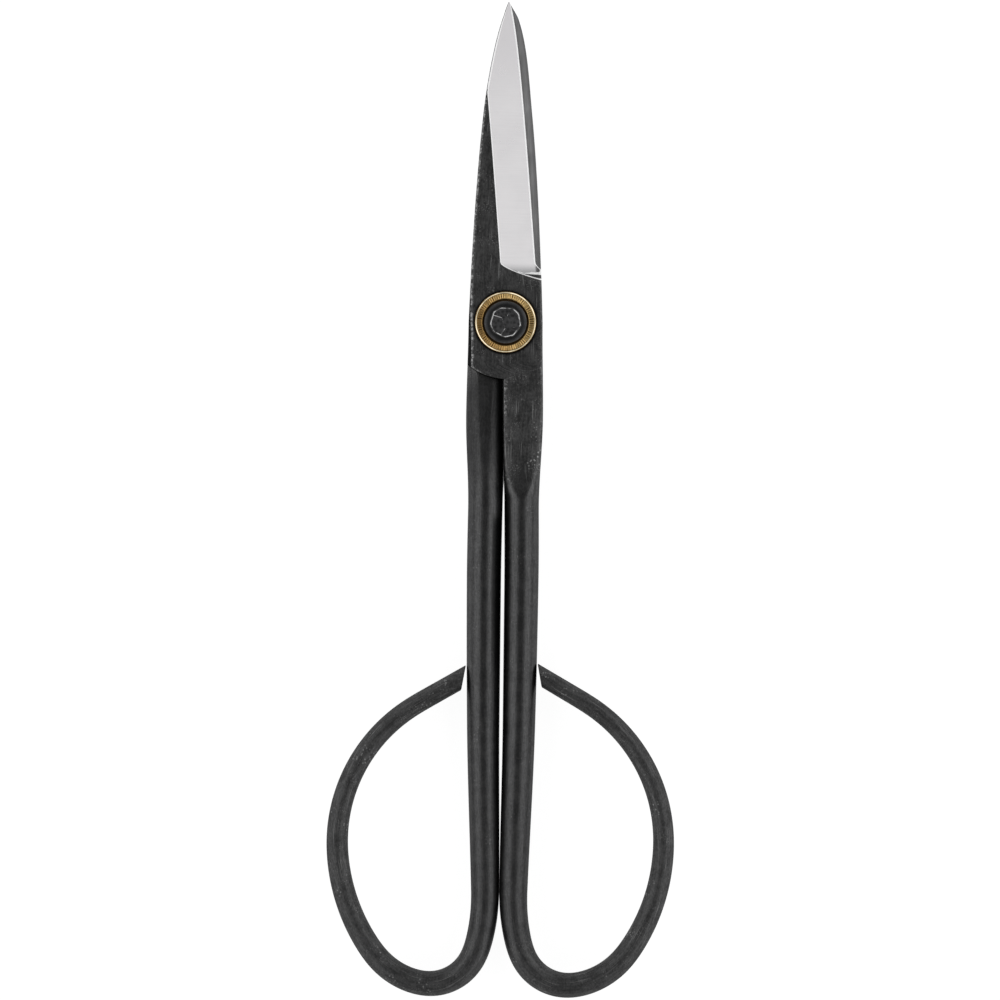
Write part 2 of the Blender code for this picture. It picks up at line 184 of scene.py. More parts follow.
def gridFaces(rows, cols, wrapRows=False):
    # quads between neighbouring rows and columns; the columns, and if asked the rows, close on themselves
    down, across = np.meshgrid(np.arange(rows if wrapRows else rows - 1), np.arange(cols), indexing="ij")
    here, under = down * cols, (down + 1) % rows * cols
    after = (across + 1) % cols
    quads = np.stack([here + across, under + across, under + after, here + after], -1)
    corners = np.stack([np.stack([down, down + 1, down + 1, down], -1),
                        np.stack([across, across, across + 1, across + 1], -1)], -1)
    return quads, corners


arm = {  # the lap plane is z = 0, the tip is along +Y and the arm's own shank lies on the +X side
    # blade: its back, its edge and its bevel
    "bladeLength": 67.6, "tipHalf": 0.15, "tipThin": 0.7, "tipCorner": 0.12,
    "bellyRise": (44, 62), "bellyFall": (64, 67.6),
    "spineTaper": 2, "spineReach": 62, "spineTipAngle": 19, "spineTipReach": 3.6,
    "edgeStart": 14.5, "edgeOffset": 6.0, "edgeTaper": 4.7, "edgeReach": 30,
    "edgeTipAngle": 20, "edgeTipReach": 5, "edgeHeight": 0.4, "bevelWidth": 7.4,
    # heel, and the plunge where the grind ends
    "flareStart": 12.9, "heelFlare": 1.6, "flarePower": 1.8,
    "plungeTop": (-1.3, 12.45), "plungeTopAngle": -50, "plungeTopReach": 2.0,
    "plungeFoot": (9.8, 8.35), "plungeFootAngle": -13, "plungeFootReach": 4.5,
    "plungeLine": 10.6, "plungeShort": 0.2, "plungeDraft": 0.2, "plungeLeast": 0.05, "plungeFillet": 0.5,
    "plungeRow": 10.6, "plungeSpread": 5.2, "plungeChamfer": 0.3,
    "wallFrom": 2.3, "wallShare": 0.84, "filletShare": 1.3,
    "plungeSlack": 0.01, "shoulderSlack": 0.005, "wallSlack": 0.02, "rimSlack": 0.05, "rimPart": 0.3,
    # pivot plate and lap
    "plateFace": 3.55, "plateHalf": 7.8, "farStart": 10.5, "farLength": 18.5, "farInset": 0.75,
    "lapFace": 0.15, "lapRadius": 11.84, "lapStep": 11.93, "boreRadius": 2.8, "fanStart": 0.8,
    "fanShare": 0.9, "fanPower": 1.5, "fanCorner": 0.25,
    "cornerRound": 0.5, "rightRound": 0.5, "lapCorner": 0.2, "lapChamfer": 0.08, "flatFull": 1.5,
    "cornerShare": 0.3, "cornerHeight": 0.6, "footShare": 0.1, "heelRound": 0.4,
    # neck
    "neckLength": 40, "neckHalf": 8.1, "neckWidest": 20, "neckBackRound": 2.4, "neckCrown": 0.45,
    "neckRoundEnd": 37, "neckRoundPower": 5.2, "neckBackDepth": 1.4, "neckBackLength": 20, "wallLean": -0.06,
    "neckStraight": 0.25, "arcGap": 0.05, "backRoundEnd": 0.75, "crownFull": 0.3, "crownFade": (0.6, 1),
    "evenSpread": (0.2, 1), "leanFade": (0.75, 0.95),
    # shank, and the end of the bow
    "shankLength": 120.2, "shankRadius": 3.64, "shankEndRadius": 2.97, "shankLift": 0.35,
    "liftFrom": (60, 110), "shankInner": 0.05, "closing": (85, 115), "shankRelief": 0.285,
    "reliefRise": (25, 55), "reliefFall": (84, 119), "tailHeading": 150, "bendBlend": 3.0,
    "bowEndSlant": 40, "bowEndGap": 0.22, "slantReach": 8.0, "endChamfer": 0.18, "endSetback": 0.126,
    # columns round a section
    "wallColumns": 3, "cornerColumns": 5, "leftColumns": 11, "rightColumns": 22, "backColumns": (4, 16, 4),
    "footColumns": 3, "boreColumn": 8, "shoulderGaps": (0.04, 0.12, 0.28), "shoulderEnds": (0.1, 0.6),
    "narrow": 3, "sharp": 38,
    # rows along the arm, close together on the plunge's wall and at its top edge
    "bladeRows": 80, "bladeCrowd": 1.4, "wallRows": 40, "wallReach": 2.6, "wallTop": 0.14, "besideRows": 14,
    "creaseRows": (0.09, 0.04, 0, -0.04, -0.12), "creaseEnd": 0.3, "plateStart": 5.0, "plateRows": 6,
    "lapRows": 12, "fanRows": 16, "neckRows": 64, "shankRows": 60, "bowRows": 190, "pathSteps": 2401,
    "blendSteps": 41, "curveSteps": 400,
}
# each bow's bends from the shank to the end, as radius and angle; bent and ground by hand, so the two differ
frontBow = {"bends": ((39.74, 17.53), (10.23, 83.05), (16.63, 45.02), (40.3, 35.47)), "topBend": 34.2,
            "endRadius": 1.95, "taperPower": 1.6, "belly": -0.3, "innerShade": 0.1}
backBow = {"bends": ((39.29, 18.08), (10.06, 84.25), (16.33, 42.27), (40.48, 32.14)), "topBend": 33.7,
           "endRadius": 2.06, "taperPower": 1.71, "belly": 0.42, "innerShade": 0.95}
tiny = 0.001  # keeps a division or a corner from closing up
# groups of columns round a section of the plate, in order
leftWall, leftCorner, topFace, rightCorner, rightWall, rightFoot, lapSide, leftFoot = range(8)


def heading(degrees):  # unit vector in the plan at an angle from +X
    return np.stack([np.cos(np.radians(degrees)), np.sin(np.radians(degrees))], -1)


def curveBetween(start, leave, leaveReach, end, arrive, arriveReach):  # cubic curve along two headings
    t = np.linspace(0, 1, arm["curveSteps"])[:, None]
    start, end = np.array(start), np.array(end)
    first = start + heading(leave) * leaveReach
    second = end - heading(arrive) * arriveReach
    return (1 - t) ** 3 * start + 3 * t * (1 - t) ** 2 * first + 3 * t * t * (1 - t) * second + t ** 3 * end


bladeTip = (arm["tipHalf"], arm["bladeLength"])
spineCurve = curveBetween((arm["plateHalf"], 0.0), 90 + arm["spineTaper"], arm["spineReach"],
                          bladeTip, 90 + arm["spineTipAngle"], arm["spineTipReach"])
edgeCurve = curveBetween((arm["edgeOffset"], arm["edgeStart"]), 90 + arm["edgeTaper"], arm["edgeReach"],
                         bladeTip, 90 + arm["edgeTipAngle"], arm["edgeTipReach"])
plungeCurve = curveBetween(arm["plungeTop"], arm["plungeTopAngle"], arm["plungeTopReach"],
                           arm["plungeFoot"], arm["plungeFootAngle"], arm["plungeFootReach"])


def spineX(y):  # half width of the blade's back, read off its curve
    return np.interp(y, spineCurve[:, 1], spineCurve[:, 0])


def edgeX(y):  # reach of the cutting edge past the centre line, run on straight below its heel
    before = np.maximum(arm["edgeStart"] - y, 0) * math.tan(math.radians(arm["edgeTaper"]))
    return np.interp(y, edgeCurve[:, 1], edgeCurve[:, 0]) + before


def plungeY(x):  # height along the blade at which the grind begins, read off its curve
    return np.interp(x, plungeCurve[:, 0], plungeCurve[:, 1])


def shankRadius(y):  # full under the neck, thinning with the square of the way to the bow
    along = np.clip((-y - arm["neckLength"]) / (arm["shankLength"] - arm["neckLength"]), 0, 1)
    return arm["shankRadius"] - (arm["shankRadius"] - arm["shankEndRadius"]) * along ** 2


def shankInner(y):  # inner side: closed up at both ends, with eased relief between
    relief = between(-y, arm["reliefRise"]) * (1 - between(-y, arm["reliefFall"]))
    return arm["shankInner"] * (1 - between(-y, arm["closing"])) + arm["shankRelief"] * relief


def shankOuter(y):  # inner side and twice the radius
    return shankInner(y) + 2 * shankRadius(y)


def shankLift(y):  # the shanks ease apart in height, so that they can lie side by side
    return arm["shankLift"] * between(-y, arm["liftFrom"])


def backDepth(y):  # depth behind the lap plane, eased from the lap to the round shank
    along = ease((-y - arm["lapRadius"]) / arm["neckBackLength"])
    return arm["neckBackDepth"] + (shankRadius(y) - arm["neckBackDepth"]) * along


def neckOuter(y):  # outer side, eased from the plate out to the swell and in to the shank
    widest = arm["neckWidest"]
    swell = arm["plateHalf"] + (arm["neckHalf"] - arm["plateHalf"]) * ease(-y / widest)
    fall = (shankOuter(y) - arm["neckHalf"]) * ease((-y - widest) / (arm["neckLength"] - widest))
    return np.where(y > -widest, swell, arm["neckHalf"] + fall)


def outerX(y):  # right-hand side: cutting edge, power-law flare of the heel, plate, neck
    flareEnd = arm["flareStart"] - arm["heelFlare"]
    stepIn = spineX(flareEnd) - edgeX(flareEnd)
    flare = stepIn * np.clip((arm["flareStart"] - y) / arm["heelFlare"], 0, 1) ** arm["flarePower"]
    return np.where(y > flareEnd, edgeX(y) + flare, np.where(y > 0, spineX(y), neckOuter(y)))


def leftX(y):  # left-hand side of the blade and the plate, drawn in a little below the heel
    inset = arm["farInset"] * ease((arm["farStart"] - y) / arm["farLength"])
    return inset - np.where(y > 0, spineX(y), neckOuter(y))


def shoulderX(y):  # where the bevel leaves the flat face: the bevel's width in from the edge
    return edgeX(np.maximum(y, arm["plungeTop"][1])) - arm["bevelWidth"]


def faceHeight(y):  # flat plate, straight taper to the tip, eased to the round shank
    start, plate = arm["plungeTop"][1], arm["plateFace"]
    taper = arm["tipThin"] * np.maximum(y - start, 0) / (arm["bladeLength"] - start)
    neck = ease((-y - arm["lapRadius"]) / (arm["neckLength"] - arm["lapRadius"]))
    return np.where(y > 0, plate - taper, plate + (shankRadius(y) - plate) * neck)


def bevelHeight(x, y):  # straight fall from the shoulder on the face to the cutting edge
    fall = (faceHeight(y) - arm["edgeHeight"]) / arm["bevelWidth"]
    return arm["edgeHeight"] + fall * np.maximum(edgeX(y) - x, 0)


def plungeShare(x, y):  # way down the plunge's wall: 0 on its top edge, 1 where it meets the bevel
    depth = np.maximum(faceHeight(y) - bevelHeight(x, y), tiny)
    start = plungeY(x)
    toLine = arm["plungeLine"] - start - arm["plungeShort"]
    return (y - start) / np.maximum(np.maximum(toLine, arm["plungeDraft"] * depth), arm["plungeLeast"])


def topHeight(x, y):  # the face, or past the plunge the higher of its wall and the bevel, filleted
    face, bevel = faceHeight(y), bevelHeight(x, y)
    wall = face - np.maximum(face - bevel, tiny) * plungeShare(x, y)
    ground = np.minimum(face, softMax(wall, bevel, arm["plungeFillet"]))
    return np.where(y < plungeY(x), face, ground)


def lapArc(x):  # lower half of the circle where the full neck begins
    return -np.sqrt(np.maximum(arm["lapStep"] ** 2 - x * x, 1))


def rowY(rows, x):  # chord of the row, pulled onto the plunge curve or bowed onto the lap arc
    t = (x - rows["xl"]) / (rows["xr"] - rows["xl"])
    chord = rows["yl"] + (rows["yr"] - rows["yl"]) * t
    start, end = lapArc(rows["xl"]), lapArc(rows["xr"])
    pulled = rows["plunge"] * (plungeY(x) - arm["plungeRow"])
    return chord + pulled + rows["bow"] * (lapArc(x) - start - (end - start) * t)


def settled(guess, step):  # repeat a step until its value no longer moves
    for _ in range(60):
        guess = step(guess)
    return guess


# heights at which the lap's two circles cross the sides of the arm
lapCornerY = settled(-8.7, lambda y: -math.sqrt(arm["lapRadius"] ** 2 - leftX(y) ** 2))
lapStepY = settled(-9.1, lambda y: -math.sqrt(arm["lapStep"] ** 2 - neckOuter(y) ** 2))
plateEndY = lapStepY + arm["fanStart"]  # where the right-hand side's rows begin to fan out


def bladeRows(bow):  # straight rows from the tip to the lap's corner, drawn onto the plunge curve at the heel
    middle, spread, bore = arm["plungeRow"], arm["plungeSpread"], arm["boreRadius"]
    crowd = np.linspace(0, 1, arm["bladeRows"])[:-1] ** arm["bladeCrowd"]
    q = np.concatenate([
        arm["bladeLength"] - (arm["bladeLength"] - middle - spread) * crowd,
        np.linspace(middle + spread, middle + arm["wallReach"], arm["besideRows"])[:-1],
        np.linspace(middle + arm["wallReach"], middle + arm["wallTop"], arm["wallRows"]),
        middle + np.array(arm["creaseRows"]),
        np.linspace(middle - arm["creaseEnd"], middle - spread, arm["besideRows"]),
        np.linspace(arm["plateStart"], bore, arm["plateRows"])[:-1],
        np.linspace(bore, -bore, arm["backColumns"][1] + 1),
        np.linspace(-bore, lapCornerY, arm["lapRows"])[1:]])[:, None]
    plunge = ease(1 - np.abs(q - middle) / spread)
    yr = np.where(q > -bore, q, -bore + (q + bore) * (plateEndY + bore) / (lapCornerY + bore))
    left = q + plunge * (arm["plungeTop"][1] - middle)
    right = settled(yr, lambda y: yr + plunge * (plungeY(outerX(y)) - middle))
    flat = ease((shoulderX(left) - leftX(left)) / arm["flatFull"])
    corner = arm["tipCorner"] + (arm["cornerRound"] - arm["tipCorner"]) * flat
    belly = bow["belly"] * between(left, arm["bellyRise"]) * (1 - between(left, arm["bellyFall"]))
    return {"xl": leftX(left) - belly, "xr": outerX(right), "yl": q, "yr": yr, "plunge": plunge, "bow": 0 * q,
            "corner": corner, "lean": 0 * q, "mid": left}


def fanRows():  # left end along the lap's arc, right end a little way down the plate, bowed more and more
    f = np.linspace(0, 1, arm["fanRows"])[1:, None]
    first = math.atan2(lapCornerY, leftX(lapCornerY))
    last = -math.acos(arm["shankInner"] / arm["lapRadius"])
    turn = (first + 2 * math.pi) * (1 - f) + (last + 2 * math.pi) * f
    xl, yl = arm["lapRadius"] * np.cos(turn), arm["lapRadius"] * np.sin(turn)
    yr = plateEndY + (lapStepY - plateEndY) * f * arm["fanShare"]
    corner = arm["cornerRound"] + (arm["lapCorner"] - arm["cornerRound"]) * ease(f / arm["fanCorner"])
    inner = np.array([[arm["shankInner"]]])  # the last row lies on the neck's own arc
    xl, yl = np.vstack([xl, inner]), np.vstack([yl, lapArc(inner)])
    yr, f = np.vstack([yr, [[lapStepY]]]), np.vstack([f, [[1.0]]])
    corner = np.vstack([corner, corner[-1:]])
    return {"xl": xl, "xr": neckOuter(yr), "yl": yl, "yr": yr, "plunge": 0 * f,
            "bow": f ** arm["fanPower"], "corner": corner, "mid": yl,
            "lean": arm["wallLean"] * ease(2 * f - 1)}


def halfOpen(count):  # fractions of a group of columns, whose end belongs to the next group
    return np.arange(count)[None, :] / count


def groupParts(groups):  # each column's fraction of the way through its group
    return (np.arange(len(groups)) - np.searchsorted(groups, groups)) / np.bincount(groups)[groups]


def leaned(rows, x, z):  # the inner wall sheared with height, fading with the square of the way across
    side = np.clip((x - rows["xl"]) / (rows["xr"] - rows["xl"]), 0, 1)
    return x + rows["lean"] * z * (1 - side) ** 2, z


def plateSection(rows):
    # columns up the left wall, round its corner, over the top, round and down the right, back along the lap
    walls, quarter = halfOpen(arm["wallColumns"]), halfOpen(arm["cornerColumns"]) * math.pi / 2
    foot = halfOpen(arm["footColumns"]) * math.pi / 2
    xl, xr, low = rows["xl"], rows["xr"], arm["lapFace"]
    width = xr - xl
    radius = np.minimum(rows["corner"], arm["cornerShare"] * width)
    rightRadius = np.minimum(arm["rightRound"], arm["cornerShare"] * width)
    small = np.minimum(arm["lapChamfer"], arm["footShare"] * width)
    start, end = xl + radius, xr - rightRadius
    fine = np.minimum(1, (end - start) / arm["narrow"])  # columns close up where the blade is narrow
    nearest, farthest = [gap * fine for gap in arm["shoulderEnds"]]
    ahead, crease, past = [gap * fine for gap in arm["shoulderGaps"]]
    shoulder = np.clip(shoulderX(rows["mid"]), start + nearest, end - farthest)
    toShoulder = np.linspace(0, 1, arm["leftColumns"] + 1)[None, :]
    flat = start + (shoulder - ahead - start) * toShoulder
    ground = shoulder + past + (end - (shoulder + past)) * halfOpen(arm["rightColumns"])
    top = np.hstack([flat, shoulder, shoulder + crease, ground])
    leftTop = topHeight(start, rowY(rows, start))
    radius = np.minimum(radius, arm["cornerHeight"] * (leftTop - low))
    rightY = rowY(rows, xr)
    keep = ease((plungeY(xr) - rightY) / arm["heelRound"])  # the right corner is round only below the plunge
    cornerX = end + rightRadius * np.sin(quarter)
    cornerZ = topHeight(cornerX, rowY(rows, cornerX)) - keep * rightRadius * (1 - np.cos(quarter))
    rightTop = topHeight(xr, rightY) - keep * rightRadius
    before, bored, after = arm["backColumns"]
    borePart = 0.5 - arm["boreRadius"] / (2 * arm["plateHalf"])
    back = np.concatenate([borePart * halfOpen(before), borePart + (1 - 2 * borePart) * halfOpen(bored),
                           1 - borePart + borePart * halfOpen(after)], 1)
    x = [xl + 0 * walls, xl + radius * (1 - np.cos(quarter)), top, cornerX, xr + 0 * walls,
         xr - small * (1 - np.cos(foot)), xr - small - (width - 2 * small) * back,
         xl + small * (1 - np.sin(foot))]
    z = [low + small + (leftTop - radius - low - small) * walls, leftTop - radius * (1 - np.sin(quarter)),
         topHeight(top, rowY(rows, top)), cornerZ, rightTop + (low + small - rightTop) * walls,
         low + small * (1 - np.sin(foot)), low + 0 * back + 0 * xl, low + small * (1 - np.cos(foot))]
    groups = np.repeat(np.arange(len(x)), [part.shape[1] for part in x])
    x, z = leaned(rows, np.hstack(x), np.hstack(z))
    return np.stack([x, rowY(rows, x), z], -1), groups, (top - start) / (end - start), back


def neckRows():  # from the lap's arc, straightening over the first quarter, down to the round shank
    along = np.linspace(0, 1, arm["neckRows"])[:, None]
    mean = -arm["lapRadius"] - (arm["neckLength"] - arm["lapRadius"]) * along
    bow = 1 - ease(along / arm["neckStraight"])
    yl = mean + (lapArc(arm["shankInner"]) - arm["arcGap"] - mean) * bow
    yr = mean + (lapStepY - arm["arcGap"] - mean) * bow
    lean = arm["wallLean"] * (1 - between(along, arm["leanFade"]))
    return {"xl": shankInner(yl), "xr": outerX(yr), "yl": yl, "yr": yr, "plunge": 0 * bow, "bow": bow,
            "lean": lean, "along": along, "mean": mean}


def roundedBox(left, right, low, high, radii, place):
    # point of a rounded rectangle at a length along its outline, upwards from the foot of the left wall
    lowLeft, highLeft, highRight, lowRight = radii
    lengths = np.hstack([high - highLeft - low - lowLeft, highLeft * math.pi / 2,
                         right - left - highLeft - highRight, highRight * math.pi / 2,
                         high - highRight - low - lowRight, lowRight * math.pi / 2,
                         right - left - lowRight - lowLeft, lowLeft * math.pi / 2])
    reached = np.hstack([0 * left, np.cumsum(lengths, 1)])
    spot = place(lengths, reached)
    part = (spot[:, :, None] >= reached[:, None, 1:8]).sum(-1)
    local = spot - np.take_along_axis(reached, part, 1)
    startX = np.hstack([left, left, left + highLeft, right - highRight,
                        right, right, right - lowRight, left + lowLeft])
    startZ = np.hstack([low + lowLeft, high - highLeft, high, high,
                        high - highRight, low + lowRight, low, low])
    radius = np.hstack([highLeft, highLeft, highLeft, highRight, highRight, lowRight, lowRight, lowLeft])
    aheadX, aheadZ = np.array([0, 0, 1, 1, 0, 0, -1, -1]), np.array([1, 1, 0, 0, -1, -1, 0, 0])
    insideX, insideZ = np.roll(aheadX, -2), np.roll(aheadZ, -2)
    curve = np.take_along_axis(radius, part, 1)
    bent = part % 2 == 1
    ahead = np.where(bent, curve * np.sin(local / curve), local)
    aside = np.where(bent, curve * (1 - np.cos(local / curve)), 0)
    x = np.take_along_axis(startX, part, 1) + aheadX[part] * ahead + insideX[part] * aside
    z = np.take_along_axis(startZ, part, 1) + aheadZ[part] * ahead + insideZ[part] * aside
    return x, z


def neckSection(rows, groups, topParts, backParts):
    # the plate's columns kept on the box's own walls and corners at first, spread evenly round it by the
    # shank; the faces are crowned by the square of the way out from the middle
    count = len(groups)
    parts = groupParts(groups)
    parts[groups == topFace] = topParts[-1]
    parts[groups == lapSide] = backParts[0]
    even = between(rows["along"], arm["evenSpread"])

    def place(lengths, reached):
        kept = reached[:, groups] + lengths[:, groups] * parts
        return kept + (reached[:, -1:] * np.arange(count) / count - kept) * even

    thick, depth, high = shankRadius(rows["mean"]), backDepth(rows["mean"]), faceHeight(rows["mean"])
    limit = np.minimum(rows["xr"] - rows["xl"], high + depth) / 2 - tiny
    way = np.clip((-rows["mean"] - arm["lapRadius"]) / (arm["neckRoundEnd"] - arm["lapRadius"]), 0, 1)
    power = way ** arm["neckRoundPower"]
    face = np.minimum(arm["cornerRound"] + (thick - arm["cornerRound"]) * power, limit)
    inner = np.minimum(arm["lapCorner"] + (thick - arm["lapCorner"]) * power, limit)
    rounding = ease(rows["along"] / arm["backRoundEnd"])
    back = np.minimum(arm["neckBackRound"] + (thick - arm["neckBackRound"]) * rounding, limit)
    x, z = roundedBox(rows["xl"], rows["xr"], -depth, high, (back, inner, face, back), place)
    crown = arm["neckCrown"] * ease(rows["along"] / arm["crownFull"])
    crown = crown * (1 - between(rows["along"], arm["crownFade"]))
    aside = 2 * (x - rows["xl"]) / (rows["xr"] - rows["xl"]) - 1
    x, z = leaned(rows, x, z * (1 - crown * aside ** 2 / np.where(z > 0, high, depth)))
    return np.stack([x, rowY(rows, x), z], -1)


def bowPath(bow):
    # heading as a straight line over each bend, averaged over a short way, added up step by step
    small = 0.1
    end = -arm["shankLength"]
    centre = [float(shankInner(y) + shankRadius(y)) for y in (small + end, end)]
    first = -90 + math.degrees(math.atan((centre[1] - centre[0]) / small))
    bends = list(bow["bends"])
    bends.append((bow["topBend"], arm["tailHeading"] - first - sum(angle for _, angle in bends)))
    ways = np.cumsum([0] + [radius * math.radians(angle) for radius, angle in bends])
    turns = first + np.cumsum([0] + [angle for _, angle in bends])
    s = np.linspace(0, ways[-1] + arm["bendBlend"], arm["pathSteps"])
    shift = np.linspace(-arm["bendBlend"], arm["bendBlend"], arm["blendSteps"])
    turn = np.interp(s[:, None] + shift, ways, turns).mean(1)
    step = heading((turn[1:] + turn[:-1]) / 2) * (s[1] - s[0])
    points = np.array([centre[1], end]) + np.vstack([[0, 0], np.cumsum(step, 0)])
    corner = points[-1] - heading(turn[-1] + 90) * bow["endRadius"]
    tail = (shankOuter(corner[1]) + arm["bowEndGap"] - corner[0]) / heading(turn[-1])[0]
    tailEnd = points[-1] + heading(turn[-1]) * tail
    return np.append(s, s[-1] + tail), np.vstack([points, tailEnd]), np.append(turn, turn[-1])


def rodSection(columns, bow):
    # rings of the shank, then of the bow, whose last rings lean over onto the slanted end and close in on it
    angle = math.pi * (1 - 2 * np.arange(columns) / columns)[None, :]
    y = np.linspace(-arm["neckLength"], -arm["shankLength"], arm["shankRows"])[1:, None]
    radius = shankRadius(y)
    across = shankInner(y) + radius + radius * np.cos(angle)
    shank = np.stack([across, y + 0 * angle, shankLift(y) + radius * np.sin(angle)], -1)
    s, path, turn = bowPath(bow)
    at = np.linspace(0, s[-1], arm["bowRows"])[1:, None]
    at = np.vstack([at, at[-1:]])
    point = np.stack([np.interp(at, s, path[:, 0]), np.interp(at, s, path[:, 1])], -1)
    turned = np.interp(at, s, turn)
    taper = (1 - at / s[-1]) ** bow["taperPower"]
    radius = bow["endRadius"] + (arm["shankEndRadius"] - bow["endRadius"]) * taper
    lean = ease(1 - (s[-1] - at) / arm["slantReach"]) * math.tan(math.radians(arm["bowEndSlant"]))
    inset, back = np.zeros_like(at), np.zeros_like(at)
    inset[-1], back[-2] = arm["endChamfer"], arm["endSetback"]
    side, z = (radius - inset) * np.cos(angle), (radius - inset) * np.sin(angle)
    behind = (radius + side) * lean + back
    plan = point + heading(turned + 90) * side[:, :, None] - heading(turned) * behind[:, :, None]
    return shank, np.concatenate([plan, z[:, :, None] + arm["shankLift"]], -1)


use = {  # how far wear, grain, gloss, painted shade and painted highlights reach on an arm: millimetres, or shares of the neck's length
    "leftEdge": 1.3, "rightEdge": 0.8, "rightShare": 0.6, "wearEnd": 0.8,  # edges rubbed bare
    "covered": 0.8, "coveredEnd": 0.08,  # rubbed less beside the lap's arc
    "shankGloss": (75, 118), "shankLoss": 0.7,  # gloss lost down the shank
    "faceGrain": (0.5, 1), "backGrain": 6, "neckGloss": (0.45, 0.95),  # grain and gloss gained down the neck
    "bowRun": 40, "bowGrain": 0.5, "bowLoss": 0.9,  # grain and gloss lost over the bow's first rows
    "hollowShade": 0.35, "hollowWall": 0.4, "hollowReach": 5, "hollowFade": 1.4,  # painted shade behind the neck
    "innerStart": (34, 44), "innerLess": (62, 82), "innerEnd": (105, 120),  # painted shade on the shanks' inner sides
    "innerFrom": 0.38, "innerBlend": 0.14, "innerLoss": 0.6,
    "spineShade": 0.35, "heelFrom": 12.8, "heelWidth": 2.4, "filletShine": 0.8,
}


def onGrind(rings, groups, plateRows):  # points past the plunge's curve and right of the bevel's shoulder
    x, y = rings[..., 0], rings[..., 1]
    shoulder = np.maximum(shoulderX(y), x[:, np.searchsorted(groups, topFace)][:, None])
    isTop = np.isin(groups, (topFace, rightCorner, rightWall))
    onPlate = np.arange(len(rings))[:, None] < plateRows
    isGround = (y > plungeY(x) - arm["plungeSlack"]) & (x > shoulder - arm["shoulderSlack"])
    return isTop & onPlate & isGround


def faceFinishes(rings, quads, groups, plateRows, ground):
    # 1 on the bevel, all of the grind but the plunge's wall; 2 on the lap; 0 elsewhere
    x, y = rings[..., 0], rings[..., 1]
    share, past = plungeShare(x, y), y - plungeY(x)
    inWall = (past > arm["plungeChamfer"] - arm["wallSlack"]) & (share < arm["wallShare"])
    onWall = ground & inWall & (x > arm["wallFrom"])
    onBevel = ground.ravel()[quads].all(-1) & ~onWall.ravel()[quads].all(-1)
    onPlate = np.arange(len(rings) - 1)[:, None] < plateRows
    isLap = np.isin(groups, (rightFoot, lapSide, leftFoot)) & onPlate
    return np.where(onBevel, 1, np.where(isLap, 2, 0))


def useFields(bow, rings, groups, plate, neck, ground):
    # a value at each point for every field: an eased distance from an edge, or an eased way along the arm
    rows, columns = rings.shape[:2]
    x, y, z = np.moveaxis(rings, -1, 0)
    along, plateRows = neck["along"], len(plate["xl"])
    forged, bowStart = plateRows + len(along), rows - arm["bowRows"]
    necks, shanks = slice(plateRows, forged), slice(forged, bowStart)
    fromLeft = x[:forged] - np.vstack([plate["xl"], neck["xl"]])
    fromRight = np.vstack([plate["xr"], neck["xr"]]) - x[:forged]
    intoBow = ease(np.arange(arm["bowRows"]) / use["bowRun"])[:, None]
    wear, drawn, smooth, spineShade, recess = np.zeros((5, rows, columns))

    nearRight = use["rightShare"] * ease(1 - fromRight / use["rightEdge"])
    near = np.maximum(ease(1 - fromLeft / use["leftEdge"]), nearRight)
    covered = use["covered"] * np.vstack([ease(2 * plate["bow"]), 1 - ease(along / use["coveredEnd"])])
    fade = np.vstack([np.ones((plateRows, 1)), 1 - ease(along / use["wearEnd"])]) * (1 - covered)
    wear[:forged] = near * fade * np.isin(groups, (leftCorner, topFace, rightCorner))
    # painted shade on the lap face beside the blade's back
    spineShade[:plateRows] = ease(1 - fromLeft[:plateRows] / use["spineShade"])

    drawn[necks] = np.where(z[necks] < 0, ease(along * use["backGrain"]), between(along, use["faceGrain"]))
    drawn[shanks] = 1
    drawn[bowStart:] = 1 - use["bowGrain"] * intoBow
    smooth[necks] = between(along, use["neckGloss"])
    smooth[shanks] = 1 - use["shankLoss"] * between(-y[shanks], use["shankGloss"])
    smooth[bowStart:] = 1 - use["shankLoss"] - use["bowLoss"] * intoBow

    # the recess field is painted shade: under the lap's arc on the plate, behind the neck, and on the shanks'
    # inner sides
    hollowShade = use["hollowShade"] + use["hollowWall"] * ease(1 - fromLeft[plateRows:] / use["hollowReach"])
    recess[:plateRows] = ease(2 * plate["bow"]) * np.isin(groups, (leftWall, leftCorner))
    recess[necks] = hollowShade * ease(-z[necks]) * ease(use["hollowFade"] * (1 - along))
    inward = np.cos(2 * math.pi * np.arange(columns) / columns)  # 1 where the shanks face each other
    drop = -y[shanks]
    faded = between(drop, use["innerStart"]) * (1 - use["innerLoss"] * between(drop, use["innerLess"]))
    facing = ease((inward - use["innerFrom"]) / use["innerBlend"]) * (1 - between(drop, use["innerEnd"]))
    recess[shanks] = bow["innerShade"] * facing * faded

    share, past = plungeShare(x, y), y - plungeY(x)
    shoulderColumn = np.searchsorted(groups, topFace) + arm["leftColumns"] + 1
    nearShoulder = np.isin(np.arange(columns), (shoulderColumn, shoulderColumn + 1))
    atEdge = ((groups == rightCorner) & (groupParts(groups) > arm["rimPart"])) | (groups == rightWall)
    # rim and the fillet's shine are painted highlights: lines along the shoulder, the cutting edge and the
    # plunge's top edge, and a band on the fillet
    rim = (nearShoulder | atEdge | (past < arm["plungeChamfer"] - arm["rimSlack"])) & ground
    fillet = (share > arm["wallShare"]) & (share < arm["filletShare"]) & (x > arm["wallFrom"]) & ground
    # painted shade on the bevel, darkest by the plunge
    heel = ease((use["heelFrom"] - y) / use["heelWidth"]) * ground
    shine = np.maximum(rim, use["filletShine"] * fillet)
    return {"wear": wear, "drawn": drawn, "smooth": smooth, "rim": shine, "heel": heel,
            "spineShade": spineShade, "recess": recess}


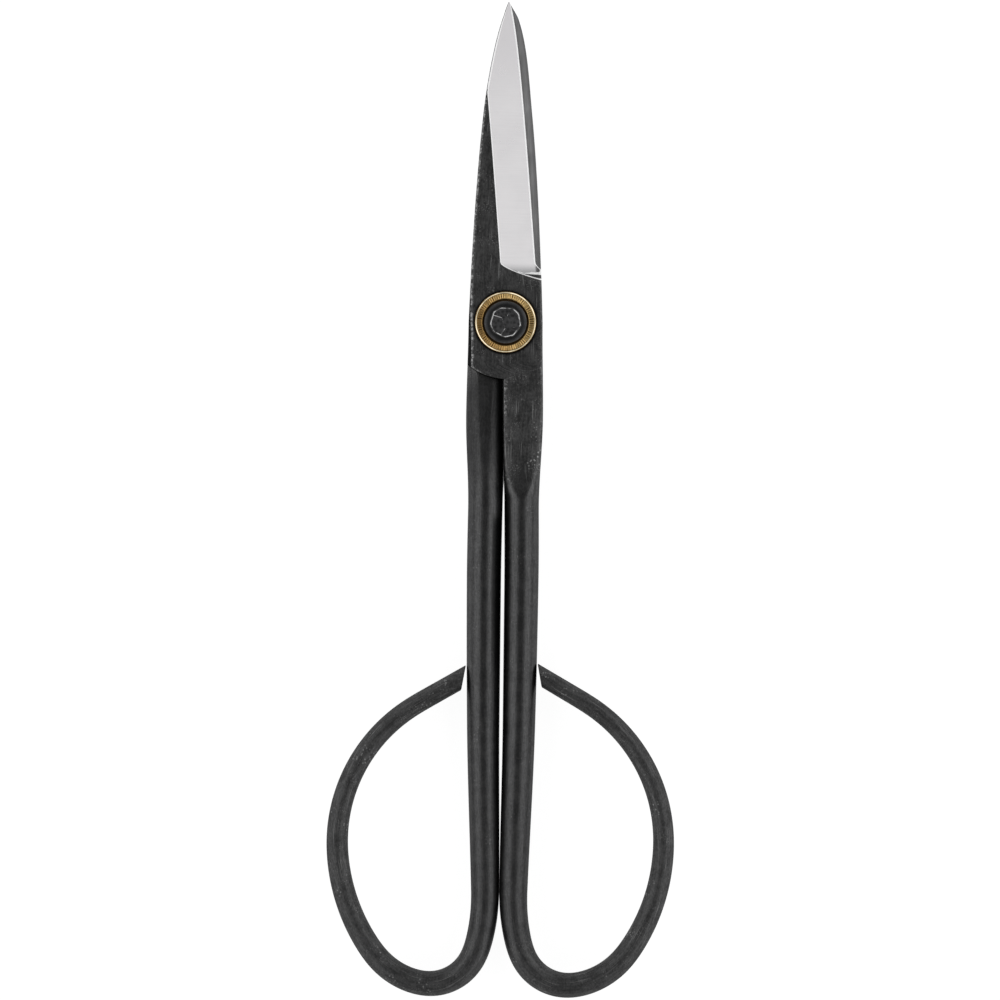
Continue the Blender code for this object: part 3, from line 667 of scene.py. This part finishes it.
def borePatch(plate, groups, corners):
    # the square of the grid over the pivot, on the face and on the lap: points round it, and its faces
    columns, bored = len(groups), arm["backColumns"][1]
    first = np.searchsorted(-plate["yl"].ravel(), -arm["boreRadius"] - 1e-6)
    topFirst = np.searchsorted(groups, topFace) + arm["boreColumn"]
    backFirst = np.searchsorted(groups, lapSide) + arm["backColumns"][0]
    i = np.arange(bored)
    top = [(first + 0 * i, topFirst + i), (first + i, topFirst + bored + 0 * i),
           (first + bored + 0 * i, topFirst + bored - i), (first + bored - i, topFirst + 0 * i)]
    under = [(first + 0 * i, backFirst + bored - i), (first + i, backFirst + 0 * i),
             (first + bored + 0 * i, backFirst + i), (first + bored - i, backFirst + bored + 0 * i)]
    topLoop, backLoop = [np.concatenate([r * columns + c for r, c in loop]) for loop in (top, under)]
    down, across = corners[:, :, 0, 0], corners[:, :, 0, 1]
    inRows = (down >= first) & (down < first + bored)
    hole = inRows & ((across >= topFirst) & (across < topFirst + bored) |
                     (across >= backFirst) & (across < backFirst + bored))
    return topLoop, backLoop, hole


def unrolledUv(rings):  # length round each ring, and length along the rings' middles, in metres
    closed = np.concatenate([rings, rings[:, :1]], 1)
    steps = np.linalg.norm(np.diff(closed, axis=1), axis=-1)
    around = np.hstack([np.zeros((len(rings), 1)), np.cumsum(steps, 1)])
    along = np.append(0, np.cumsum(np.linalg.norm(np.diff(rings.mean(1), axis=0), axis=-1)))
    return np.stack([around, along[:, None] + 0 * around], -1) * mm


def armSurface(bow):
    # all rings of one arm in order, drawn onto the bore's circle at the pivot; faces, finishes, fields, map
    blade, fan, neck = bladeRows(bow), fanRows(), neckRows()
    plate = {key: np.vstack([blade[key], fan[key]]) for key in blade}
    points, groups, topParts, backParts = plateSection(plate)
    necked = neckSection(neck, groups, topParts, backParts)
    shank, bowed = rodSection(len(groups), bow)
    rings = np.concatenate([points, necked, shank, bowed])
    rows, columns = rings.shape[:2]
    quads, corners = gridFaces(rows, columns)
    ground = onGrind(rings, groups, len(points))
    finish = faceFinishes(rings, quads, groups, len(points), ground)
    fields = useFields(bow, rings, groups, plate, neck, ground)

    topLoop, backLoop, hole = borePatch(plate, groups, corners)
    flat = rings.reshape(-1, 3)
    bothLoops = np.concatenate([topLoop, backLoop])
    reach = np.hypot(flat[bothLoops, 0], flat[bothLoops, 1])[:, None]
    flat[bothLoops, :2] *= arm["boreRadius"] / reach
    boreQuads = np.stack([backLoop, np.roll(backLoop, -1), np.roll(topLoop, -1), topLoop], -1)

    kept = ~hole
    used = np.unique(np.concatenate([quads[kept].ravel(), boreQuads.ravel()]))
    renamed = np.zeros(rows * columns, dtype=int)
    renamed[used] = np.arange(len(used))
    tip, end = np.arange(columns), np.arange(rows * columns - 1, (rows - 1) * columns - 1, -1)
    caps = [renamed[tip].tolist(), renamed[end].tolist()]
    faces = renamed[quads[kept]].tolist() + renamed[boreQuads].tolist() + caps
    faceFinish = np.concatenate([finish[kept], np.full(len(boreQuads), 2), [1, 0]])
    uv = unrolledUv(rings)
    quadUv, boreUv = uv[corners[..., 0], corners[..., 1]], np.zeros((boreQuads.size, 2))
    uvs = np.concatenate([quadUv[kept].reshape(-1, 2), boreUv, uv[0, :-1], uv[-1, -2::-1]])
    return flat[used], faces, faceFinish, {key: field.ravel()[used] for key, field in fields.items()}, uvs


blackFinish = {
    "dark": (0.054, 0.054, 0.055, 1), "light": (0.089, 0.089, 0.090, 1),  # on the drawn rod
    "flatDark": grey(0.053), "flatLight": grey(0.128),  # on the forged flats
    # the darkest grey here colours painted shadow round the washer and painted shade in the hollows
    "bare": grey(0.40), "speck": grey(0.43), "paintedShade": grey(0.004), "edgeTint": grey(0.5),
    "plateRough": 0.38, "rodRough": 0.26, "mottledRough": 0.14, "bump": (0.35, 0.00004),
    # each pattern's repeats in a metre with its detail, and between which of its values it fades in
    "grain": (2600, 240, 1, 3.0), "toothShape": (1, 0.55, 1), "tooth": (3000, 2.0, 0.7),
    "mottle": (420, 4.0, 0.6), "shadeEdge": (0.37, 0.63),
    "specks": 1350, "speckEdge": (0.14, 0.32), "patches": (190, 2.0), "patchEdge": (0.52, 0.64),
    "pepper": 2700, "pepperEdge": (0.16, 0.36), "scatter": (310, 2.0), "scatterEdge": (0.52, 0.66),
    "scratches": (5200, 130, 1, 0.0), "scratchEdge": (0.72, 0.78),
    "rubbing": (1700, 3.0, 0.65), "rubbingEdge": (0.36, 0.64), "rubbedEdge": (0.30, 1.0),
    "washerShadowEdge": (0.0065, 0.0071), "handledEdge": (-0.028, -0.008),
    # how much of each pattern a sum takes, in its order there
    "shadeParts": (0.28, 0.32, 0.4), "markParts": (0.8, 0.45, 0.5), "bumpParts": (0.6, 0.8, 0.5, 0.5),
    "drawnLess": 0.86, "handledLess": 0.65, "recessShadePart": 0.8}


def blackenedSteel():  # oxide mottled over a drawn grain, speckled and scratched, rubbed bare along the edges; painted shadow round the washer and painted shade in the hollows
    own = blackFinish
    fixed = {"Metallic": 1.0, "Specular Tint": own["edgeTint"]}
    material, shader, place = newFinish("blackened_steel", fixed)
    surface = place.unrolled()
    grain = surface.streaks(*own["grain"])
    tooth = place.stretched(*own["toothShape"]).noise(*own["tooth"])
    mottle = place.noise(*own["mottle"])
    shade = weighed(own["shadeParts"], mottle, grain, tooth).ramp(*own["shadeEdge"])
    drawn = place.field("drawn")
    rolled = shade.mix(own["dark"], own["light"])
    oxide = drawn.mix(shade.mix(own["flatDark"], own["flatLight"]), rolled)

    specks = 1 - place.cells(own["specks"]).ramp(*own["speckEdge"])
    grouped = specks * place.noise(*own["patches"]).ramp(*own["patchEdge"])
    pepper = 1 - place.cells(own["pepper"]).ramp(*own["pepperEdge"])
    scattered = pepper * place.noise(*own["scatter"]).ramp(*own["scatterEdge"])
    scratch = surface.streaks(*own["scratches"]).ramp(*own["scratchEdge"])
    handled = 1 - own["handledLess"] * place.axis("Y").ramp(*own["handledEdge"])  # more specks below the lap
    marks = weighed(own["markParts"], grouped * handled, scattered, scratch)
    marked = (marks * (1 - own["drawnLess"] * drawn)).mix(oxide, own["speck"])

    rubbing = place.noise(*own["rubbing"]).ramp(*own["rubbingEdge"])
    rubbed = (place.field("wear") * rubbing).ramp(*own["rubbedEdge"])
    seat = 1 - place.reach().ramp(*own["washerShadowEdge"])  # painted shadow round the brass washer, and painted shade in the hollows
    paintedShade = place.maths("MAXIMUM", seat, own["recessShadePart"] * place.field("recess"))
    feed(shader, "Base Color", paintedShade.mix(rubbed.mix(marked, own["bare"]), own["paintedShade"]))
    smoother = (own["rodRough"] - own["plateRough"]) * place.field("smooth")
    feed(shader, "Roughness", own["plateRough"] + smoother + own["mottledRough"] * mottle)
    bump(shader, weighed(own["bumpParts"], grain, mottle, tooth, grouped), *own["bump"])
    return material


# rim and glint colour the painted highlight on the bevel, the glint glowing
bevelFinish = {"steel": (0.612, 0.601, 0.608, 1), "dull": (0.552, 0.542, 0.550, 1),
               "tip": (0.545, 0.532, 0.543, 1), "rim": grey(0.92), "heel": (0.30, 0.30, 0.305, 1),
               "glint": grey(0.22), "roughness": 0.24, "cloudyRough": 0.10, "bump": (0.15, 0.00002),
               "lines": (160, 7000, 160, 2.0), "cloud": (140, 3.0), "bodyParts": (0.35, 0.65),
               "bodyEdge": (0.3, 0.7), "tipEdge": (0.044, 0.060), "tipPart": 0.9,
               "pits": 900, "pitEdge": (0.05, 0.12), "pitted": (260, 2.0), "pittedEdge": (0.60, 0.70),
               "pitPart": 0.5, "heelBase": 0.7, "heelCloud": 0.5, "rimEdge": (0.1, 0.9), "rimLess": 0.95}


def bevelSteel():  # ground bright: fine lines across the blade, painted highlights that glow along the shoulder, the edge and the plunge, painted shade by the plunge
    own = bevelFinish
    material, shader, place = newFinish("bevel_steel", {"Emission Strength": 1.0})
    lines = place.streaks(*own["lines"])
    cloud = place.noise(*own["cloud"])
    pitted = place.noise(*own["pitted"]).ramp(*own["pittedEdge"])
    pits = (1 - place.cells(own["pits"]).ramp(*own["pitEdge"])) * pitted
    body = weighed(own["bodyParts"], lines, cloud).ramp(*own["bodyEdge"]).mix(own["dull"], own["steel"])
    duller = (place.axis("Y").ramp(*own["tipEdge"]) * own["tipPart"]).mix(body, own["tip"])
    # painted shade by the plunge, clouded
    heel = place.field("heel") * (own["heelBase"] + own["heelCloud"] * cloud)
    shaded = (heel + own["pitPart"] * pits).mix(duller, own["heel"])
    rim = place.field("rim").ramp(*own["rimEdge"])
    feed(shader, "Base Color", rim.mix(shaded, own["rim"]))
    feed(shader, "Metallic", 1 - own["rimLess"] * rim)
    # the painted highlight also glows
    feed(shader, "Emission Color", rim.mix(grey(0), own["glint"]))
    feed(shader, "Roughness", own["roughness"] + own["cloudyRough"] * cloud)
    bump(shader, lines, *own["bump"])
    return material


# edge is the colour of the painted shade along the blade's back
lapFinish = {"steel": (0.56, 0.56, 0.565, 1), "dull": (0.40, 0.40, 0.405, 1), "black": grey(0.03),
             "edge": grey(0.16), "spineShadePart": 0.9, "roughness": 0.36, "cloudyRough": 0.14,
             "bump": (0.2, 0.00002), "lines": (5200, 170, 400, 2.0), "cloud": (190, 3.0),
             "bodyParts": (0.5, 0.5), "bodyEdge": (0.3, 0.7), "blackEdge": (0.007, 0.011)}


def lapSteel():  # ground flat: short lines lengthways with cloudy rubbing, painted shade along the blade's back
    own = lapFinish
    material, shader, place = newFinish("lap_steel", {"Metallic": 1.0})
    lines = place.streaks(*own["lines"])
    cloud = place.noise(*own["cloud"])
    bright = weighed(own["bodyParts"], lines, cloud).ramp(*own["bodyEdge"]).mix(own["dull"], own["steel"])
    spineShaded = (own["spineShadePart"] * place.field("spineShade")).mix(bright, own["edge"])
    ground = place.axis("Y").ramp(*own["blackEdge"])  # the lap round the pivot is black
    feed(shader, "Base Color", ground.mix(own["black"], spineShaded))
    feed(shader, "Roughness", own["roughness"] + own["cloudyRough"] * cloud)
    bump(shader, lines, *own["bump"])
    return material


finishes = [blackenedSteel(), bevelSteel(), lapSteel()]
print("finishes of the arms made")

for armName, body, bow in (("front_arm", "front_half", frontBow), ("back_arm", "back_half", backBow)):
    points, faces, faceFinish, fields, uvs = armSurface(bow)
    if bow is backBow:
        points = turnedAbout(points)
    piece = makePiece(armName + "_forged", points, faces, finishes, faceFinish, fields, uvs, arm["sharp"])
    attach(piece, body)
    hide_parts(armName)
print("arms made:", len(faces), "faces each")


cornerSteps = 5  # points that round off a corner of an outline
cornerMost = 0.42  # share of a side that a rounded corner may take


def softCorners(profile, size):  # each corner of a closed outline as a parabola between its two sides
    corner = np.array(profile, dtype=float)
    before, after = np.roll(corner, 1, 0) - corner, np.roll(corner, -1, 0) - corner
    lengths = np.linalg.norm(before, axis=1)[:, None], np.linalg.norm(after, axis=1)[:, None]
    start = corner + before * np.minimum(size / lengths[0], cornerMost)
    end = corner + after * np.minimum(size / lengths[1], cornerMost)
    t = np.linspace(0, 1, cornerSteps)[None, :, None]
    bent = (1 - t) ** 2 * start[:, None] + 2 * t * (1 - t) * corner[:, None] + t * t * end[:, None]
    return bent.reshape(-1, 2)


def allRound(count):  # even angles of a full turn
    return np.linspace(0, 2 * math.pi, count, endpoint=False)[None, :]


def turnedSurface(radius, height, angle):  # radius and height at each angle about the pivot
    return np.stack([radius * np.cos(angle), radius * np.sin(angle), height + 0 * angle], -1)


def ringPiece(name, points, finish, fields, sharp):  # closed both ways: round the pivot and round its section
    rows, columns = points.shape[:2]
    quads, corners = gridFaces(rows, columns, True)
    uvs = corners.reshape(-1, 2)[:, ::-1] / np.array([columns, rows])
    return makePiece(name, points.reshape(-1, 3), quads.reshape(-1, 4).tolist(), [finish],
                     np.zeros(rows * columns), fields, uvs, sharp)


cup = {"bore": 2.8, "outer": 6.45, "recess": 4.75, "seat": 3.75, "floor": 4.25, "top": 4.85, "chamfer": 0.2,
       "soft": 0.07, "lines": 74, "steps": 6, "topSteps": 14, "sharp": 40,
       "lineDepth": 0.13, "lineFrom": 4.98, "lineTo": 6.0, "lineFade": 0.1, "topSlack": 0.02,
       "uneven": 0.3, "waves": (2.4, 1.1, 0.7),
       # the recess and the band past the rim's end are darkened as painted shade and painted shadow
       "recessShade": 0.9, "recessShadeWidth": 0.15, "rimGap": 0.08, "rimFade": 0.06, "rimEnd": 6.32, "endFade": 0.05}


def cupSurface():  # turned cup; the top of its rim is cut by radial V grooves between two circles
    inner, outer = cup["recess"] + cup["chamfer"], cup["outer"] - cup["chamfer"]
    edge = cup["top"] - cup["chamfer"]
    profile = [(cup["bore"], cup["seat"]), (cup["bore"], cup["floor"]), (cup["recess"], cup["floor"]),
               (cup["recess"], edge)]
    profile += [(radius, cup["top"]) for radius in np.linspace(inner, outer, cup["topSteps"])]
    profile += [(cup["outer"], edge), (cup["outer"], cup["seat"])]
    section = softCorners(profile, cup["soft"])
    radius, height = section[:, :1], section[:, 1:]
    angle = allRound(cup["lines"] * cup["steps"])
    turn = angle * cup["lines"] / (2 * math.pi)
    groove, line = 1 - np.abs(turn % 1 - 0.5) * 2, np.floor(turn)
    quick, slow, shift = cup["waves"]  # no two grooves are alike
    uneven = 1 - cup["uneven"] * (1 - np.sin(line * quick) * np.sin(line * slow + shift))
    begun = ease((radius - cup["lineFrom"]) / cup["lineFade"])
    within = begun * ease((cup["lineTo"] - radius) / cup["lineFade"])
    cut = groove * uneven * within * (height > cup["top"] - cup["topSlack"])
    return turnedSurface(radius, height - cup["lineDepth"] * cut, angle), cut


def cupFields(points, cut):  # tarnish in the grooves, painted shade in the recess and painted shadow below the rim; a painted highlight on the rim
    reach = np.hypot(points[..., 0], points[..., 1])
    shadowBelowRim = ease((reach - cup["rimEnd"]) / cup["endFade"])
    recessAndRimShade = np.maximum(cup["recessShade"] * (reach < cup["recess"] + cup["recessShadeWidth"]), shadowBelowRim)
    begun = ease((reach - cup["lineTo"] - cup["rimGap"]) / cup["rimFade"])
    rim = begun * ease((cup["rimEnd"] - reach) / cup["endFade"])
    # groove holds the grooves' tarnish with the painted shade and shadow; bright is the painted highlight
    return {"groove": np.maximum(recessAndRimShade, cut), "bright": rim}


# bright and glint colour the painted highlight along the rim, the glint glowing
brassFinish = {"brass": (0.62, 0.43, 0.18, 1), "brown": (0.47, 0.29, 0.105, 1),
               "dark": (0.09, 0.05, 0.018, 1), "bright": (0.96, 0.86, 0.60, 1),
               "glint": (0.78, 0.67, 0.49, 1), "roughness": 0.28, "cloudyRough": 0.15, "tarnishRough": 0.15,
               "bump": (0.15, 0.00003),
               "cloud": (900, 4.0), "stains": (210, 1.0), "stainBase": 0.15, "stainPart": 0.7,
               "tarnishEdge": (0.20, 0.80), "highlightBase": 0.5, "rubbedEdge": (0.3, 0.9), "highlightLess": 0.7,
               # these set painted shade, browner towards the lower left
               "lowerLeftNoise": (160, 1.0), "lowerLeftAcross": 60, "lowerLeftAlong": 45, "lowerLeftEdge": (0.2, 0.8),
               "glints": (330, 2.0), "glintEdge": (0.36, 0.62)}


def tarnishedBrass():  # tarnished in the grooves, with painted shade in the recess, below the rim and to the lower left, and a painted highlight along its rim that also glows
    own = brassFinish
    material, shader, place = newFinish("brass", {"Emission Strength": 1.0})
    cloud = place.noise(*own["cloud"])
    stains = own["stainBase"] + cloud + own["stainPart"] * place.noise(*own["stains"])
    tarnishAndShade = (place.field("groove") * stains).ramp(*own["tarnishEdge"])
    slope = own["lowerLeftAcross"] * place.axis("X") + own["lowerLeftAlong"] * place.axis("Y")
    lowerLeftShade = (place.noise(*own["lowerLeftNoise"]) - slope).ramp(*own["lowerLeftEdge"])  # painted shade: browner and darker at the lower left
    # rubbed here is the painted highlight along the rim
    rubbed = (place.field("bright") * (own["highlightBase"] + cloud)).ramp(*own["rubbedEdge"])
    glinting = rubbed * place.noise(*own["glints"]).ramp(*own["glintEdge"])
    body = rubbed.mix(lowerLeftShade.mix(own["brass"], own["brown"]), own["bright"])
    feed(shader, "Base Color", tarnishAndShade.mix(body, own["dark"]))
    feed(shader, "Emission Color", glinting.mix(grey(0), own["glint"]))
    feed(shader, "Metallic", 1 - own["highlightLess"] * rubbed)
    feed(shader, "Roughness", own["roughness"] + own["cloudyRough"] * cloud + own["tarnishRough"] * tarnishAndShade)
    bump(shader, cloud, *own["bump"])
    return material


brass = tarnishedBrass()
cupPoints, cupCut = cupSurface()
cupValues = cupFields(cupPoints, cupCut)
for side, points in (("front", cupPoints), ("back", turnedAbout(cupPoints))):
    piece = ringPiece(side + "_cup", points, brass, cupValues, cup["sharp"])
    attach(piece, "back_half")
    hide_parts(side + "_brass_washer")
print("brass cups made")

dish = {"bore": 2.8, "outer": 4.45, "seat": 4.45, "thick": 0.5, "rise": 0.3, "soft": 0.1,
        "columns": 160, "steps": 8, "sharp": 40}


def dishSurface():  # cone of even thickness with rounded lips
    seat, rim = dish["seat"], dish["seat"] + dish["thick"]
    lift = np.linspace(0, 1, dish["steps"])
    across = dish["outer"] + (dish["bore"] - dish["outer"]) * lift
    profile = [(r, rim + dish["rise"] * t) for r, t in zip(across[::-1], lift[::-1])]
    profile += [(dish["outer"], seat), (dish["bore"], seat + dish["rise"])]
    section = softCorners(profile, dish["soft"])
    return turnedSurface(section[:, :1], section[:, 1:], allRound(dish["columns"]))


# dark is where the painted shade beside the rivet's head runs to
springFinish = {"dark": (0.008, 0.009, 0.010, 1), "light": (0.135, 0.135, 0.138, 1),
                "metallic": 0.35, "roughness": 0.34, "cloudyRough": 0.12, "bump": (0.2, 0.00002),
                "rings": (3, 420, 1, 2.0), "cloud": (700, 3.0), "shadeParts": (0.5, 0.5),
                "shadeEdge": (0.25, 0.75), "headShadeEdge": (0.0036, 0.0044)}


def springSteel():  # blued steel with rings from turning, with painted shade darkest beside the rivet's head
    own = springFinish
    material, shader, place = newFinish("spring_steel", {"Metallic": own["metallic"]})
    turned = place.unrolled().streaks(*own["rings"])
    cloud = place.noise(*own["cloud"])
    shade = weighed(own["shadeParts"], turned, cloud).ramp(*own["shadeEdge"])
    outsideHeadShade = shade * place.reach().ramp(*own["headShadeEdge"])
    feed(shader, "Base Color", outsideHeadShade.mix(own["dark"], own["light"]))
    feed(shader, "Roughness", own["roughness"] + own["cloudyRough"] * cloud)
    bump(shader, turned, *own["bump"])
    return material


spring = springSteel()
dishPoints = dishSurface()
for side, points in (("front", dishPoints), ("back", turnedAbout(dishPoints))):
    piece = ringPiece(side + "_dish", points, spring, {}, dish["sharp"])
    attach(piece, "back_half")
    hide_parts(side + "_spring_washer")
print("spring washers made")

rivet = {"pin": 2.5, "head": 3.3, "flat": 3.0, "seat": 5.45, "side": 6.3, "top": 6.75, "columns": 180,
         "crown": (0.12, 0.5, 0.9, 1.3, 1.7, 2.1, 2.5), "backCrown": (2.1, 1.0, 0.15), "backSide": 6.05,
         "soft": 0.1, "wornWidth": 0.10, "wornFrom": 0.03, "wornFull": 1.5,
         "crease": 0.026, "creaseDepth": 0.012, "power": 30, "drawnFrom": (0.4, 2.0),
         "headFrom": 0.2, "seatSlack": 0.01, "sharp": 30,
         "sides": ((10, 3.22), (47, 3.34), (86, 3.12), (121, 3.3), (164, 3.16), (204, 3.32),
                   (243, 3.14), (282, 3.3), (325, 3.2)),  # heading and distance of the front head's sides
         "flats": ((20, 0.7, 7), (112, 1.0, 8), (196, 0.4, 6), (291, 1.2, 8))}  # heading, start and tilt


def rivetSurface():
    # outline turned about the pivot; the front head is drawn to an uneven polygon by a high power sum of its
    # sides, and cut by tilted planes, each below the top by its reach past a line times its slope, to flats
    top, head, seat = rivet["top"], rivet["head"], rivet["seat"]
    crown = [(r, top) for r in rivet["crown"] + (rivet["flat"],)]
    front = [(head, rivet["side"]), (head, seat), (rivet["pin"], seat)]
    lower = [(rivet["pin"], -seat), (head, -seat), (head, -rivet["backSide"])]
    end = [(r, -top) for r in rivet["backCrown"]]
    section = softCorners(crown + front + lower + end, rivet["soft"])[cornerSteps:-cornerSteps]
    plain, height = section[:, :1], section[:, 1:]
    angle = allRound(rivet["columns"])
    sides, flats = np.array(rivet["sides"])[:, :, None, None], np.array(rivet["flats"])[:, :, None, None]
    facing = np.maximum(np.cos(angle - np.radians(sides[:, 0])), tiny) / sides[:, 1]
    outline = (facing ** rivet["power"]).sum(0) ** (-1 / rivet["power"]) / head
    drawn = ease((height - seat) / rivet["seatSlack"] + 1) * between(plain, rivet["drawnFrom"])
    radius = plain * (1 + drawn * (outline - 1))
    reach = radius * np.cos(angle - np.radians(flats[:, 0])) - flats[:, 1]
    planes = np.sort(top - np.maximum(reach, 0) * np.tan(np.radians(flats[:, 2])), 0)
    onHead = height > seat + rivet["headFrom"]
    # the lines round the flat top and the creases where flats meet are rubbed bare and also a painted
    # highlight
    meeting = ease(1 - (planes[1] - planes[0]) / rivet["crease"])
    crease = meeting * ease((top - planes[0]) / rivet["creaseDepth"])
    fromRim = np.abs(plain - rivet["flat"] - rivet["wornFrom"])
    rim = ease(rivet["wornFull"] - fromRim / rivet["wornWidth"])
    wornAndHighlit = onHead * np.maximum(drawn * rim, crease * (plain < rivet["flat"]))
    return turnedSurface(radius, np.where(onHead, np.minimum(height, planes[0]), height), angle), wornAndHighlit


rivetFinish = {"dark": (0.016, 0.016, 0.017, 1), "light": (0.070, 0.070, 0.072, 1), "bare": grey(0.85),
               "metallic": 0.4, "wornLess": 0.1, "roughness": 0.34, "cloudyRough": 0.14,
               "bump": (0.3, 0.00006), "bumpParts": (0.7, 0.3),
               "dents": 1500, "cloud": (800, 4.0), "bodyParts": (0.5, 0.6), "bodyEdge": (0.3, 0.75),
               "breaks": (520, 2.0), "breakEdge": (0.36, 0.62), "rubbedEdge": (0.34, 0.76),
               "wornBase": 0.05, "wornCloud": 0.65, "wornBreak": 0.45}


def rivetSteel():  # peened and blackened; rubbed light, with a painted highlight, where the hammer flats meet and round the flat top's edge
    own = rivetFinish
    material, shader, place = newFinish("rivet_steel", {})
    dents = place.cells(own["dents"])
    cloud = place.noise(*own["cloud"])
    broken = place.noise(*own["breaks"]).ramp(*own["breakEdge"])
    patchy = own["wornBase"] + own["wornCloud"] * cloud + own["wornBreak"] * broken
    rubbed = (place.field("wornAndHighlit") * patchy).ramp(*own["rubbedEdge"])
    body = weighed(own["bodyParts"], dents, cloud).ramp(*own["bodyEdge"]).mix(own["dark"], own["light"])
    feed(shader, "Base Color", rubbed.mix(body, own["bare"]))
    feed(shader, "Metallic", own["metallic"] - own["wornLess"] * rubbed)
    feed(shader, "Roughness", own["roughness"] + own["cloudyRough"] * cloud)
    bump(shader, weighed(own["bumpParts"], dents, cloud), *own["bump"])
    return material


rivetPoints, rivetWornAndHighlit = rivetSurface()
rivetRows, rivetColumns = rivetPoints.shape[:2]
rivetQuads, rivetCorners = gridFaces(rivetRows, rivetColumns)
rivetCount = rivetRows * rivetColumns
rivetCaps = [list(range(rivetColumns)), list(range(rivetCount - 1, rivetCount - rivetColumns - 1, -1))]
rivetFaces = rivetQuads.reshape(-1, 4).tolist() + rivetCaps
rivetUvs = rivetCorners.reshape(-1, 2)[:, ::-1] / np.array([rivetColumns, rivetRows])
rivetUvs = np.concatenate([rivetUvs, np.zeros((2 * rivetColumns, 2))])
rivetPiece = makePiece("peened_rivet", rivetPoints.reshape(-1, 3), rivetFaces, [rivetSteel()],
                       np.zeros(len(rivetFaces)), {"wornAndHighlit": rivetWornAndHighlit}, rivetUvs, rivet["sharp"])
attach(rivetPiece, "back_half")
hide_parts("pivot_rivet")
print("rivet made")

studio = {"floorHalf": 3.0, "floorGlow": 0.92, "floorShade": 0.22, "floorBounce": 0.60,
          "boxAngle": 47, "boxDistance": 1.0, "boxShift": -0.04, "boxWidth": 0.80, "boxLength": 2.0,
          "boxGlow": 1.06, "skyLow": 0.55, "skyHigh": 0.17, "skyEdge": (0.12, 0.6)}


def paleFloor():  # near white to the eye and in the metal, plain diffuse for bounced light
    material = bpy.data.materials.new("pale_floor")
    material.use_nodes = True
    tree = material.node_tree
    tree.nodes.remove(tree.nodes["Principled BSDF"])
    output = tree.nodes["Material Output"]
    start = Wire(tree, output.inputs[0])
    rays = start.node("ShaderNodeLightPath", {}, {}).socket.node.outputs
    mirrored = Wire(tree, rays["Is Glossy Ray"]) + Wire(tree, rays["Is Transmission Ray"])
    direct = Wire(tree, rays["Is Camera Ray"]) + mirrored
    shade = start.node("ShaderNodeBsdfDiffuse", {}, {"Color": grey(studio["floorShade"])})
    glow = start.node("ShaderNodeEmission", {}, {"Color": grey(1), "Strength": studio["floorGlow"]})
    seen = start.node("ShaderNodeAddShader", {}, {0: shade, 1: glow})
    bounce = start.node("ShaderNodeBsdfDiffuse", {}, {"Color": grey(studio["floorBounce"])})
    mixed = start.node("ShaderNodeMixShader", {}, {0: direct, 1: bounce, 2: seen})
    tree.links.new(mixed.socket, output.inputs[0])
    return material


half = studio["floorHalf"]
floorCorners = [(-half, -half, 0), (half, -half, 0), (half, half, 0), (-half, half, 0)]
floorMesh = bpy.data.meshes.new("pale_floor")
floorMesh.from_pydata(floorCorners, [], [(0, 1, 2, 3)])
floorMesh.materials.append(paleFloor())
floor = bpy.data.objects.new("pale_floor", floorMesh)
bpy.context.scene.collection.objects.link(floor)

boxLean = math.radians(studio["boxAngle"])
boxAside, boxHeight = studio["boxDistance"] * math.sin(boxLean), studio["boxDistance"] * math.cos(boxLean)
for side, sign in (("left", -1), ("right", 1)):  # a long softbox on each side of the tool
    lamp = bpy.data.lights.new(side + "_softbox", "AREA")
    lamp.shape = "RECTANGLE"
    lamp.size, lamp.size_y = studio["boxWidth"], studio["boxLength"]
    lamp.energy = studio["boxGlow"] * math.pi * studio["boxWidth"] * studio["boxLength"]
    box = bpy.data.objects.new(side + "_softbox", lamp)
    box.location = (sign * boxAside, studio["boxShift"], boxHeight)
    box.rotation_euler = (0, sign * boxLean, 0)
    box.visible_camera = False
    bpy.context.scene.collection.objects.link(box)

world = bpy.data.worlds.new("studio")
world.use_nodes = True
bpy.context.scene.world = world
sky = world.node_tree.nodes["Background"]
above = Wire(world.node_tree, sky.outputs[0]).node("ShaderNodeTexCoord", {}, {}, "Generated")
climb = above.axis("Z").ramp(*studio["skyEdge"])
feed(sky, "Color", climb.mix(grey(studio["skyLow"]), grey(studio["skyHigh"])))
print("studio made")

shot = {"pixel": 0.21084, "frame": 1000, "pivotX": 505.55, "pivotY": 322.9, "tilt": 0.64,
        "lens": 200, "sensor": 36, "farthest": 20}  # the photograph's scale, the pivot's pixel and the roll
tilt = math.radians(shot["tilt"])
acrossShot = (shot["frame"] / 2 - shot["pivotX"]) * shot["pixel"]
upShot = (shot["pivotY"] - shot["frame"] / 2) * shot["pixel"]
lensData = bpy.data.cameras.new("camera")
lensData.lens, lensData.sensor_width, lensData.clip_end = shot["lens"], shot["sensor"], shot["farthest"]
camera = bpy.data.objects.new("camera", lensData)
camera.location = ((acrossShot * math.cos(tilt) - upShot * math.sin(tilt)) * mm,
                   (acrossShot * math.sin(tilt) + upShot * math.cos(tilt)) * mm,
                   (shot["frame"] * shot["pixel"] * shot["lens"] / shot["sensor"] + lapHeight) * mm)
camera.rotation_euler = (0, 0, tilt)
bpy.context.scene.collection.objects.link(camera)
bpy.context.scene.camera = camera
bpy.context.scene.view_settings.view_transform = "Standard"
print("camera set")
